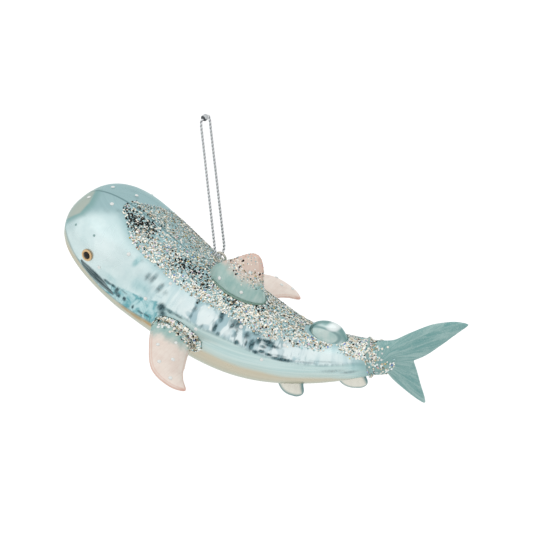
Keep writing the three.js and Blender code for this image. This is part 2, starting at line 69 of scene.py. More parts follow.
UPPER_LOBE = [
    (-2, 1, 6, 3.4), (5, 1.9, 5.2, 2.8), (12, 4.4, 5.6, 2.1),
    (20, 8.3, 4.7, 1.7), (27, 10.8, 2.8, 1.3), (32.3, 11.8, 1.2, 0.9),
]
LOWER_LOBE = [
    (1, 2, 6, 3), (4, -2, 6, 2.6), (6.4, -7.6, 5.1, 2.1), (9.4, -14.2, 3.1, 1.5), (12.9, -21, 1.3, 0.9),
]
SOCKET = [(-4.5, 0, 6.4, 6.5), (-1.5, 0, 6.4, 6.5), (1.5, 0.3, 6.4, 4.33), (4.5, 0.7, 5.9, 2.6)]
# Where each fin sits: share of the body's length, turn from the left flank, lean of the fin
DORSAL_PLACE = (0.54, 90, 90)
LEFT_PECTORAL_PLACE = (0.445, -3, -3)
RIGHT_PECTORAL_PLACE = (0.471, 183, 186.5)
SECOND_DORSAL_PLACE = (0.8, 90, 90)
ANAL_PLACE = (1 - 11.6 / BODY_LENGTH, 270, 270)
LEFT_PELVIC_PLACE = (0.765, -66, -66)
RIGHT_PELVIC_PLACE = (0.765, 246, 246)
# The left strand of the cord, from the knot down into the wire eye: across, up
STRAND = [
    (-1.5, 1.3), (-2.3, 0.9), (-2.75, -0.6), (-2.8, -3), (-2.8, -10), (-2.85, -18), (-2.9, -26),
    (-2.9, -34), (-2.95, -42), (-2.95, -48), (-2.95, -53.15), (-2.55, -54.62), (-1.48, -55.7),
]
# Where the eyes sit, the radius and half thickness of the ring, and the radius of the pupil
EYE_SHARE, EYE_LIFT = 0.139, 7.5
IRIS_RADIUS, IRIS_HALF_THICKNESS, PUPIL_RADIUS = 1.88, 0.52, 1.44
# The wire eye: radius of the wire, radius and height of its ring, and each leg's distance from the middle
WIRE_RADIUS, RING_RADIUS, RING_HEIGHT, LEG_OFFSET = 0.48, 2.2, -57, 0.9
# The cord's two yarns: distance from its middle, radius, and length of one turn
YARN_OFFSET, YARN_RADIUS, CORD_LAY = 0.26, 0.32, 2.9
# The knot: radius of its wraps and of the cord in them, its height and half length
WRAP_RADIUS, WRAP_CORD_RADIUS, KNOT_HEIGHT, KNOT_HALF_LENGTH = 0.78, 0.48, 1.3, 0.9


# The spine, the skin and the fins as points

def smooth(low, high, value):
    step = np.clip((value - low) / (high - low), 0, 1)
    return step * step * (3 - 2 * step)


def spline(knots, share, even=False):
    """A smooth curve through the knots, spaced by their distance or evenly."""
    knots = np.asarray(knots, float)
    rows = np.vstack([2 * knots[0] - knots[1], knots, 2 * knots[-1] - knots[-2]])
    where = np.clip(np.asarray(share, float), 0, 1) * (len(knots) - 1)
    i = np.minimum(where.astype(int), len(knots) - 2)
    step = (where - i)[..., None]
    a, b, c, d = rows[i], rows[i + 1], rows[i + 2], rows[i + 3]

    def gap(p, q):
        if even:
            return 1.0
        return np.maximum(np.sqrt(np.linalg.norm(q - p, axis=-1, keepdims=True)), 1e-6)

    before_b, between, after_c = gap(a, b), gap(b, c), gap(c, d)
    m = ((b - a) / before_b - (c - a) / (before_b + between) + (c - b) / between) * between
    n = ((c - b) / between - (d - b) / (between + after_c) + (d - c) / after_c) * between
    return b + m * step + (3 * (c - b) - 2 * m - n) * step**2 + (2 * (b - c) + m + n) * step**3


def heading(share):
    """The way towards the nose at a share of the body's length."""
    share = np.asarray(share, float)
    pitch = HEAD_PITCH + (TAIL_PITCH - HEAD_PITCH) * smooth(PITCH_FROM, 1, share)
    pitch = np.radians(pitch - SNOUT_DROOP * np.maximum(0, 1 - share / DROOP_TO) ** 2)
    swing = np.radians(TAIL_SWING * np.maximum(0, (share - SWING_FROM) / (1 - SWING_FROM)) ** 2)
    return np.stack([-np.cos(pitch) * np.cos(swing), -np.cos(pitch) * np.sin(swing), np.sin(pitch)], -1)


SPINE_STEPS = 200
steps = -heading((np.arange(SPINE_STEPS) + 0.5) / SPINE_STEPS) * BODY_LENGTH / SPINE_STEPS
spine = np.vstack([np.zeros(3), np.cumsum(steps, 0)])
spine = spine - spine[SPINE_STEPS // 2] + PLACE


def station(share):
    """A place on the spine, with its ways towards the nose, the left and up."""
    marks = np.linspace(0, 1, SPINE_STEPS + 1)
    origin = np.stack([np.interp(share, marks, spine[:, i]) for i in range(3)], -1)
    nose = heading(share)
    left = np.cross([0.0, 0.0, 1.0], nose)
    left = left / np.linalg.norm(left, axis=-1, keepdims=True)
    return origin, nose, left, np.cross(nose, left)


def end_round(distance, reach, blunt):
    """How full a section is at a distance from the end that it closes."""
    share = np.clip(distance / reach, 0, 1)
    return (1 - (1 - share) ** blunt) ** (1 / blunt)


def girth(share):
    size = spline(SECTIONS, share, even=True)
    run = share * BODY_LENGTH
    stalk = end_round(BODY_LENGTH - run, *STALK_END)
    side = size[..., 0] * end_round(run, *NOSE_SIDES) * stalk
    top = size[..., 1] * end_round(run, *NOSE_TOP) * stalk
    bottom = size[..., 2] * end_round(run, *NOSE_UNDER) * stalk
    return side, top, bottom, stalk


def skin(share, degrees):
    """Points on the glass, by share of length and by degrees round it from the left flank over the back."""
    share, degrees = np.broadcast_arrays(np.asarray(share, float), np.asarray(degrees, float))
    origin, _, left, up = station(share)
    side, top, bottom, stalk = girth(share)
    power = 2 / (2 + HEAD_SQUARENESS * (1 - smooth(0, 0.6, share)))
    cos, sin = np.cos(np.radians(degrees)), np.sin(np.radians(degrees))
    across = np.sign(cos) * np.abs(cos) ** power
    above = np.sign(sin) * np.abs(sin) ** power
    from_crown = np.abs((degrees + 90) % 360 - 180)
    ridge = RIDGE_HEIGHT * (1 - smooth(0.35, 0.5, share)) * smooth(0, 0.05, share) * stalk
    ridge = ridge * np.maximum(0, 1 - from_crown / RIDGE_HALF_TURN)
    height = np.where(above > 0, top * above + ridge, bottom * above)
    return origin + left * (side * across)[..., None] + up * height[..., None]


def skin_normal(share, degrees):
    middle = np.clip(share, 0.004, 0.996)
    along = skin(middle + 0.003, degrees) - skin(middle - 0.003, degrees)
    around = skin(middle, degrees + 1) - skin(middle, degrees - 1)
    normal = np.cross(along, around)
    return normal / np.maximum(np.linalg.norm(normal, axis=-1, keepdims=True), 1e-9)


def fin_seat(share, degrees, lean):
    """The middle of a fin's root on the skin, and its ways aft and out."""
    _, nose, left, up = station(share)
    out = left * math.cos(math.radians(lean)) + up * math.sin(math.radians(lean))
    return skin(share, degrees), -nose, out


def fin_section(knots, share, turn):
    """A fin's surface in its own plane: aft, out, depth and how far in from the edge."""
    knots = np.asarray(knots, float)
    flat = np.column_stack([knots[:, :2], np.zeros(len(knots))])
    sizes = np.column_stack([knots[:, 2:], np.zeros(len(knots))])
    middle = spline(flat, share)
    run = spline(flat, np.minimum(share + 1e-3, 1)) - spline(flat, np.maximum(share - 1e-3, 0))
    run = run / np.linalg.norm(run, axis=-1, keepdims=True)
    size = spline(sizes, share) * np.sqrt(np.maximum(0, 1 - share**10))[..., None]
    chord = np.cos(turn) * size[..., 0]
    depth = np.sin(turn) * size[..., 1]
    aft = middle[..., 0] + chord * run[..., 1]
    out = middle[..., 1] - chord * run[..., 0]
    return aft, out, depth, size[..., 0] * (1 - np.abs(np.cos(turn)))


def fin(seat, knots, share, turn):
    origin, aft_way, out_way = seat
    aft, out, depth, _ = fin_section(knots, share, turn)
    thick = np.cross(aft_way, out_way)
    return origin + aft[..., None] * aft_way + out[..., None] * out_way + depth[..., None] * thick


def fin_normal(seat, knots, share, turn):
    spot = fin(seat, knots, share, turn)
    ahead = fin(seat, knots, np.minimum(share + 0.01, 1), turn) - spot
    beside = fin(seat, knots, share, turn + 0.02) - spot
    normal = np.cross(beside, ahead)
    away = spot - fin(seat, knots, share, turn + math.pi)
    normal = normal * np.sign((away * normal).sum(-1, keepdims=True))
    return normal / np.maximum(np.linalg.norm(normal, axis=-1, keepdims=True), 1e-9)


dorsal_seat = fin_seat(*DORSAL_PLACE)
left_seat = fin_seat(*LEFT_PECTORAL_PLACE)
right_seat = fin_seat(*RIGHT_PECTORAL_PLACE)
second_seat = fin_seat(*SECOND_DORSAL_PLACE)
anal_seat = fin_seat(*ANAL_PLACE)
pelvic_left_seat = fin_seat(*LEFT_PELVIC_PLACE)
pelvic_right_seat = fin_seat(*RIGHT_PELVIC_PLACE)
tail_origin, tail_nose, _, tail_up = station(np.array(1.0))
tail_seat = (tail_origin, -tail_nose, tail_up)


# Making pieces

def select_only(obj):
    bpy.ops.object.select_all(action="DESELECT")
    obj.select_set(True)
    bpy.context.view_layer.objects.active = obj


def edit(obj, work):
    select_only(obj)
    bpy.ops.object.mode_set(mode="EDIT")
    bpy.ops.mesh.select_all(action="SELECT")
    work()
    bpy.ops.object.mode_set(mode="OBJECT")


def outward(obj):
    edit(obj, lambda: bpy.ops.mesh.normals_make_consistent(inside=False))
    select_only(obj)
    bpy.ops.object.shade_smooth()


def modify(obj, kind, **settings):
    select_only(obj)
    modifier = obj.modifiers.new("shape", kind)
    for key, value in settings.items():
        setattr(modifier, key, value)
    bpy.ops.object.modifier_apply(modifier=modifier.name)


def primitive(name, add_primitive, **sizes):
    """One of Blender's primitives, selected alone and under its own name."""
    bpy.ops.object.select_all(action="DESELECT")
    add_primitive(**sizes)
    obj = bpy.context.active_object
    obj.name = name
    return obj


def joined(parts):
    select_only(parts[0])
    for part in parts[1:]:
        part.select_set(True)
    bpy.ops.object.join()
    return parts[0]


def corners(obj):
    co = np.empty(len(obj.data.vertices) * 3)
    obj.data.vertices.foreach_get("co", co)
    return co.reshape(-1, 3)


def move_corners(obj, points):
    obj.data.vertices.foreach_set("co", (points * MM).ravel())
    obj.data.update()


def note(obj, name, values, kind="FLOAT"):
    """Keeps a value for each corner of a piece, for its material to read."""
    layer = obj.data.attributes.new(name, kind, "POINT")
    field = {"FLOAT": "value", "FLOAT_VECTOR": "vector", "FLOAT_COLOR": "color"}[kind]
    layer.data.foreach_set(field, np.ascontiguousarray(values, np.float32).ravel())


def sphere_over(name, rings, sides, place):
    """A sphere whose rings and meridians are moved to the places that place(along, around) gives them."""
    obj = primitive(name, bpy.ops.mesh.primitive_uv_sphere_add, segments=sides, ring_count=rings, radius=1)
    co = corners(obj)
    along = np.arccos(np.clip(co[:, 2], -1, 1)) / np.pi
    along = np.round(along * rings) / rings
    around = np.arctan2(co[:, 1], co[:, 0])
    points, notes = place(along, around)
    move_corners(obj, points)
    for key, values in notes.items():
        note(obj, key, values, "FLOAT_VECTOR" if np.ndim(values) == 2 else "FLOAT")
    outward(obj)
    return obj


def finish_piece(obj, body, material, slot, *nodes):
    """Gives a piece its material and the body it rides on, and hides the CAD nodes it stands for; slot is
    not used.
    """
    obj.data.materials.clear()
    obj.data.materials.append(material)
    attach(obj, body)
    if nodes:
        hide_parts(*nodes)
    return obj


TIP_CROWDING = 1.6


def fin_piece(name, seat, knots, rings=72, sides=56):
    """A fin as a closed blade, with its rings drawn together towards the tip."""

    def place(along, around):
        share = np.clip((along * rings - 1) / (rings - 1), 0, 1)
        share = 1 - (1 - share) ** TIP_CROWDING
        points = fin(seat, knots, share, around)
        root = fin(seat, knots, np.zeros(2), np.array([0.5, -0.5]) * math.pi)
        points[along < 0.5 / rings] = root.mean(0)
        aft, out, depth, from_edge = fin_section(knots, share, around)
        flat = np.column_stack([aft, out, depth])
        return points, {"share": share, "reach": out, "from_edge": from_edge, "flat": flat}

    return sphere_over(name, rings, sides, place)


def repeated(name, template, scales, turns, places, tints):
    """Copies of a small mesh at many places, as one piece with a tint for each copy."""
    verts = np.array([v.co[:] for v in template.data.vertices])
    faces = [tuple(p.vertices) for p in template.data.polygons]
    count = len(places)
    made = np.einsum("nij,vj->nvi", turns, verts)
    made = np.einsum("nvi,n->nvi", made, scales) + places[:, None, :]
    polygons = []
    for i in range(count):
        polygons.extend(tuple(k + i * len(verts) for k in face) for face in faces)
    mesh = bpy.data.meshes.new(name)
    mesh.from_pydata((made.reshape(-1, 3) * MM).tolist(), [], polygons)
    obj = bpy.data.objects.new(name, mesh)
    bpy.context.scene.collection.objects.link(obj)
    colours = np.column_stack([tints, np.ones(count)])
    note(obj, "tint", np.repeat(colours, len(verts), axis=0), "FLOAT_COLOR")
    note(obj, "high", np.tile(verts[:, 2], count))
    return obj


def square_to(axes):
    """Two ways square to each axis and to each other."""
    helper = np.where(np.abs(axes[:, 2:3]) < 0.9, [[0.0, 0.0, 1.0]], [[1.0, 0.0, 0.0]])
    first = np.cross(helper, axes)
    first = first / np.linalg.norm(first, axis=1, keepdims=True)
    return first, np.cross(axes, first)


def facing(normals, spin, lean, lean_way):
    """Turns that take +Z to each normal, leaned a little and spun about it."""
    first, second = square_to(normals)
    way = first * np.cos(lean_way)[:, None] + second * np.sin(lean_way)[:, None]
    axis = normals * np.cos(lean)[:, None] + way * np.sin(lean)[:, None]
    first, second = square_to(axis)
    u = first * np.cos(spin)[:, None] + second * np.sin(spin)[:, None]
    return np.stack([u, np.cross(axis, u), axis], axis=2)


# Building materials

def new_material(name):
    material = bpy.data.materials.new(name)
    material.use_nodes = True
    tree = material.node_tree
    return material, tree, tree.nodes["Principled BSDF"]


def put(tree, socket, value):
    """Links a socket to another one, or sets its plain number or colour."""
    if isinstance(value, bpy.types.NodeSocket):
        tree.links.new(value, socket)
    elif isinstance(value, tuple) and socket.type == "RGBA":
        socket.default_value = (*value, 1.0)
    else:
        socket.default_value = value


def fill(tree, node, inputs):
    for key, value in inputs.items():
        put(tree, node.inputs[key], value)


def add(tree, kind, inputs=None, **settings):
    made = tree.nodes.new(kind)
    for key, value in settings.items():
        setattr(made, key, value)
    fill(tree, made, inputs or {})
    return made


def sums(tree, operation, a, b=0.0, c=0.0):
    return add(tree, "ShaderNodeMath", {0: a, 1: b, 2: c}, operation=operation).outputs[0]


def times(tree, a, b):
    return sums(tree, "MULTIPLY", a, b)


def less(tree, value):
    return sums(tree, "SUBTRACT", 1.0, value)


def band(tree, value, low, high):
    """A soft step from 0 at low to 1 at high."""
    made = add(tree, "ShaderNodeMapRange", {"Value": value, "From Min": low, "From Max": high},
               interpolation_type="SMOOTHSTEP")
    return made.outputs["Result"]


def line(tree, value, half, soft):
    """A soft stripe where the value is near 0."""
    return less(tree, band(tree, sums(tree, "ABSOLUTE", value), half, half + soft))


def blend(tree, factor, a, b):
    return add(tree, "ShaderNodeMix", {0: factor, 6: a, 7: b}, data_type="RGBA").outputs[2]


def attribute(tree, name, output="Fac"):
    return add(tree, "ShaderNodeAttribute", attribute_name=name).outputs[output]


def scaled(tree, vector, scale):
    return add(tree, "ShaderNodeMapping", {"Vector": vector, "Scale": scale}).outputs[0]


def noise(tree, vector, scale, detail=3.0, rough=0.55, distortion=0.0):
    made = add(tree, "ShaderNodeTexNoise", {
        "Vector": vector, "Scale": scale, "Detail": detail, "Roughness": rough, "Distortion": distortion})
    return made.outputs["Fac"]


def bumped(tree, shader, strength, distance, height):
    made = add(tree, "ShaderNodeBump", {"Strength": strength, "Distance": distance, "Height": height})
    put(tree, shader.inputs["Normal"], made.outputs[0])


def here(tree):
    return add(tree, "ShaderNodeTexCoord").outputs["Object"]


def srgb(red, green, blue):
    """A colour from the three values that a screen shows, 0 to 255."""

    def linear(value):
        value = value / 255
        return value / 12.92 if value <= 0.04045 else ((value + 0.055) / 1.055) ** 2.4
    return (linear(red), linear(green), linear(blue))


def group(name, ins, outs, build):
    tree = bpy.data.node_groups.new(name, "ShaderNodeTree")
    for key, kind in ins:
        tree.interface.new_socket(key, in_out="INPUT", socket_type=kind)
    for key, kind in outs:
        tree.interface.new_socket(key, in_out="OUTPUT", socket_type=kind)
    start = tree.nodes.new("NodeGroupInput")
    end = tree.nodes.new("NodeGroupOutput")
    fill(tree, end, build(tree, start.outputs))
    return tree


def use(tree, which, inputs):
    return add(tree, "ShaderNodeGroup", inputs, node_tree=which).outputs


# Groups that several materials share

def build_strokes(tree, given):
    along = noise(tree, scaled(tree, given["Vector"], (0.9, 0.09, 0.4)), 1.0, 4.0, 0.62, 0.7)
    cloud = noise(tree, given["Vector"], 0.22, 3.0, 0.55)
    grain = noise(tree, given["Vector"], 2.6, 3.0, 0.6)
    return {"Strokes": band(tree, along, 0.32, 0.68), "Cloud": band(tree, cloud, 0.3, 0.7), "Grain": grain}


FLOAT, VECTOR = "NodeSocketFloat", "NodeSocketVector"
strokes = group("brush strokes", [("Vector", VECTOR)],
                [("Strokes", FLOAT), ("Cloud", FLOAT), ("Grain", FLOAT)], build_strokes)


def build_ripple(tree, given):
    wide = noise(tree, given["Vector"], 55.0, 2.0, 0.5)
    small = noise(tree, given["Vector"], 210.0, 2.0, 0.5)
    height = sums(tree, "MULTIPLY_ADD", small, 0.25, wide)
    return {"Height": height, "Mottle": band(tree, wide, 0.3, 0.7)}


ripple = group("blown glass ripple", [("Vector", VECTOR)],
               [("Height", FLOAT), ("Mottle", FLOAT)], build_ripple)


# The glass body, and where its lacquers, the dark smoke in its silver and its painted reflections lie

# Edges between the colours: share of length, turn from the flank
BELLY = [
    (0, 14), (0.06, 1), (0.125, -8), (0.21, -18), (0.285, -18), (0.325, -17), (0.38, -13), (0.53, -7),
    (0.64, -12), (0.69, -13), (0.74, -19), (0.81, -19), (0.86, -24), (0.9, -36), (0.96, -62), (1, -80),
]
WATERLINE = [
    (0, -20), (0.14, -2), (0.21, -14), (0.27, -8), (0.335, 0), (0.375, 16), (0.41, 20), (0.46, 20),
    (0.505, 19), (0.54, 20), (0.605, 20), (0.665, 16), (0.715, 14), (0.76, 13), (0.84, 12), (0.915, 15),
    (1, 4),
]
BACK = [
    (0, -12), (0.03, 20), (0.06, 53), (0.09, 66), (0.13, 76), (0.2, 60), (0.3, 55), (0.5, 52), (0.7, 44),
    (0.8, 60), (0.86, 62), (0.92, 48), (1, 40),
]
# Edge of the muzzle: turn from the left flank, share of length
MUZZLE = [
    (-60, 0), (-20, 0.005), (14, 0.015), (48, 0.055), (69, 0.055), (88, 0.04), (98, 0.02), (130, 0.005),
    (170, 0),
]
# The dark streak behind the eye: share of length, turn, half width
STREAK = [
    (0.13, -3, 0.5), (0.14, -5, 1.1), (0.16, -6, 1.6), (0.18, -7, 1.9), (0.2, -8, 1.9), (0.22, -9, 1.6),
    (0.235, -10, 1.1), (0.25, -11, 0.8),
]
# Dabs of dark smoke in the silver, partly painted dark reflections: share of length, turn, half length,
# half height, strength
SMOKE_AND_DARK_REFLECTIONS = [
    (0.225, -2, 2, 0.6, 0.9), (0.245, -1, 1.8, 0.5, 0.8), (0.26, -4, 0.8, 1.9, 1), (0.27, -7, 1, 1.2, 1),
    (0.29, -6, 0.9, 1.2, 0.9), (0.28, 1, 2.4, 0.5, 0.5), (0.32, -8, 0.5, 1.4, 0.9),
    (0.345, -8, 1.4, 0.7, 0.8), (0.365, -6, 1.5, 0.6, 0.7), (0.39, 15, 2, 2.4, 0.8),
    (0.4, 9, 1.8, 1.8, 0.7), (0.415, 17, 2, 0.9, 0.7), (0.44, 18, 2.8, 0.7, 0.6),
    (0.27, 47, 1.2, 1.2, 0.3), (0.31, 36, 1.4, 2.6, 0.5), (0.325, 39, 1.2, 3.4, 0.55),
    (0.355, 34, 1.3, 3, 0.6), (0.375, 33, 1.6, 1.8, 0.35), (0.285, 33, 3, 3, 0.2),
    (0.34, 29, 2.4, 2, 0.25), (0.465, 47, 1, 1.6, 0.7), (0.47, 36, 1, 1.7, 0.55),
    (0.47, 25, 0.7, 1.6, 0.55), (0.51, 22, 0.9, 1.4, 0.5), (0.545, 45, 1.2, 2.2, 0.9),
    (0.55, 39, 1, 1.6, 0.7), (0.545, 27, 0.8, 2, 1), (0.56, 22, 0.9, 1, 0.7), (0.595, 42, 3.6, 2.4, 0.6),
    (0.585, 38, 1.2, 1.4, 0.7), (0.615, 21, 1.1, 1.1, 0.85), (0.605, 33, 0.7, 2, 0.6),
    (0.635, 34, 1.8, 1.8, 0.6), (0.655, 42, 2.6, 1.7, 0.55), (0.655, 25, 1, 2.4, 1),
    (0.64, 24, 0.7, 1.6, 0.7), (0.67, 33, 1.2, 1.6, 0.8), (0.695, 36, 3, 0.9, 0.85),
    (0.705, 32, 3.4, 0.8, 0.85), (0.685, 27, 1.6, 0.8, 0.7), (0.685, 20, 1.4, 0.8, 0.85),
    (0.705, 18, 1.6, 0.7, 0.85), (0.67, 17, 1.2, 0.9, 0.9), (0.74, 15, 4.8, 0.8, 0.85),
    (0.735, 20, 3, 0.7, 0.5), (0.8, 16, 6, 0.6, 0.4), (0.85, 20, 7, 0.6, 0.35),
    (0.125, 78, 1.6, 1.2, 0.3), (0.87, -3, 6, 1, 0.4), (0.91, -10, 4, 1, 0.45),
    (0.085, 62, 2.2, 1.8, 0.2), (0.105, 70, 2, 1.6, 0.25),
]
# The deep teal below the cheek: its upper edge, then its slanting end
SEA_TOP = [
    (0.2, -5), (0.225, -2), (0.25, 1), (0.29, 6), (0.33, 11), (0.355, 15), (0.37, 19), (0.4, 19),
]
SEA_END_SHARE, SEA_END_TURN, SEA_END_SLANT = 0.371, 18.8, 0.0014
# Dabs of teal lacquer, of painted highlights and of tan on the belly, in the same order as the dabs of
# smoke and dark reflections
TEAL = [
    (0.31, 20, 6, 4, 0.55), (0.26, 43, 1.4, 3.6, 0.7), (0.235, 4, 4, 2, 0.4), (0.29, 30, 3, 3, 0.25),
    (0.11, 21, 0.7, 2.2, 0.1), (0.93, 6, 5, 2.4, 0.5), (0.26, 28, 5, 3, 0.2),
]
PAINTED_HIGHLIGHTS = [
    (0.52, 33, 1.8, 3, 1), (0.58, 28, 2, 1.8, 1), (0.62, 25, 1.2, 1.4, 0.9), (0.42, 36, 3, 3, 0.6),
    (0.81, 37, 5, 2, 0.7), (0.86, 33, 4, 1.8, 0.6), (0.45, 28, 2, 1.6, 0.6), (0.69, 25, 1.6, 1, 0.6),
    (0.49, 40, 1.6, 2.2, 0.8), (0.635, 27, 0.9, 1.6, 0.8), (0.67, 22, 1, 1.2, 0.7),
    (0.74, 27, 3, 1.8, 0.6), (0.17, 32, 9, 6, 0.5),
]
TAN = [(0.305, -20, 4, 1.8, 0.8), (0.335, -18, 4, 2.6, 1), (0.375, -16, 4, 2, 0.9)]
# The back's colour comes further down on the right flank, and the two flanks don't share a pattern
BACK_LOWER_ON_RIGHT = 22
RIGHT_PATTERN_SHIFT = 40.0
STREAK_STEPS = 60
GLASS_TINT = (0.5, 0.66, 0.66)


def along_table(table, value):
    keys, values = zip(*table)
    return np.interp(value, keys, values)


def folded(degrees):
    """Degrees round the body as the turn from the nearer flank, and whether that is the right one."""
    wound = (degrees + 90) % 360 - 90
    return np.where(wound > 90, 180 - wound, wound), wound > 90


def mean_radius(share):
    side, top, bottom, _ = girth(share)
    return (2 * side + top + bottom) / 4


def dabs(table, share, turn, radius, sharp=1.3):
    """How strongly the dabs of a table cover each place."""
    mask = np.zeros(len(share))
    for at, angle, half_run, half_arc, weight in table:
        run, arc = (share - at) * BODY_LENGTH, np.radians(turn - angle) * radius
        reach = (run / half_run) ** 2 + (arc / half_arc) ** 2
        mask = np.maximum(mask, weight * np.exp(-(reach**sharp)))
    return mask


def streak_dabs():
    at, angle, width = np.array(STREAK).T
    marks, fine = np.linspace(0, 1, len(at)), np.linspace(0, 1, STREAK_STEPS)
    at, angle, width = (np.interp(fine, marks, values) for values in (at, angle, width))
    return list(zip(at, angle, width, width, np.ones(STREAK_STEPS)))


def body_place(along, around):
    """The points of the glass, and what its material needs to know at each of them."""
    share = 0.5 - 0.5 * np.cos(np.pi * along)
    degrees = np.degrees(around)
    turn, right = folded(degrees)
    radius = mean_radius(share)
    arc = np.radians(turn) * radius

    def mm_above(table, shift=0.0):
        return np.radians(turn - along_table(table, share) - shift) * radius

    above_water = mm_above(WATERLINE)
    # The zone along the flank that carries painted rippled reflections
    rippled_reflection_zone = smooth(0.4, 0.47, share) * (1 - smooth(0.75, 0.84, share)) * smooth(-0.2, 1.0, above_water)
    sea_end = (SEA_END_SHARE + (SEA_END_TURN - turn) * SEA_END_SLANT - share) * BODY_LENGTH
    sea = np.minimum(smooth(-0.3, 0.7, -mm_above(SEA_TOP)), smooth(-0.1, 0.25, sea_end))
    sea = sea * smooth(0.205, 0.232, share)
    points = skin(share, degrees)
    off_mouth = np.radians(turn - MOUTH_TURN) * radius / MOUTH_HALF_WIDTH
    mouth = MOUTH_DEPTH * np.exp(-(off_mouth**2)) * (1 - smooth(0.085, 0.11, share))
    points = points - skin_normal(share, degrees) * mouth[:, None]
    return points, {
        "flow": np.column_stack([share * BODY_LENGTH, arc, np.where(right, RIGHT_PATTERN_SHIFT, 0.0)]),
        "above_belly": mm_above(BELLY),
        "above_waterline": above_water,
        "rippled_reflection_zone": rippled_reflection_zone,
        "sea": sea,
        "above_back": mm_above(BACK, np.where(right, -BACK_LOWER_ON_RIGHT, 0.0)),
        "from_seam": np.radians(90 - turn) * radius,
        "muzzle": (along_table(MUZZLE, (degrees + 90) % 360 - 90) - share) * BODY_LENGTH,
        "streak": dabs(streak_dabs(), share, turn, radius, 1.5),
        "smoke_and_dark_reflection": dabs(SMOKE_AND_DARK_REFLECTIONS, share, turn, radius),
        "teal": dabs(TEAL, share, turn, radius),
        "painted_highlight": dabs(PAINTED_HIGHLIGHTS, share, turn, radius),
        "tan": dabs(TAN, share, turn, radius, 1.0),
        "share": share,
    }


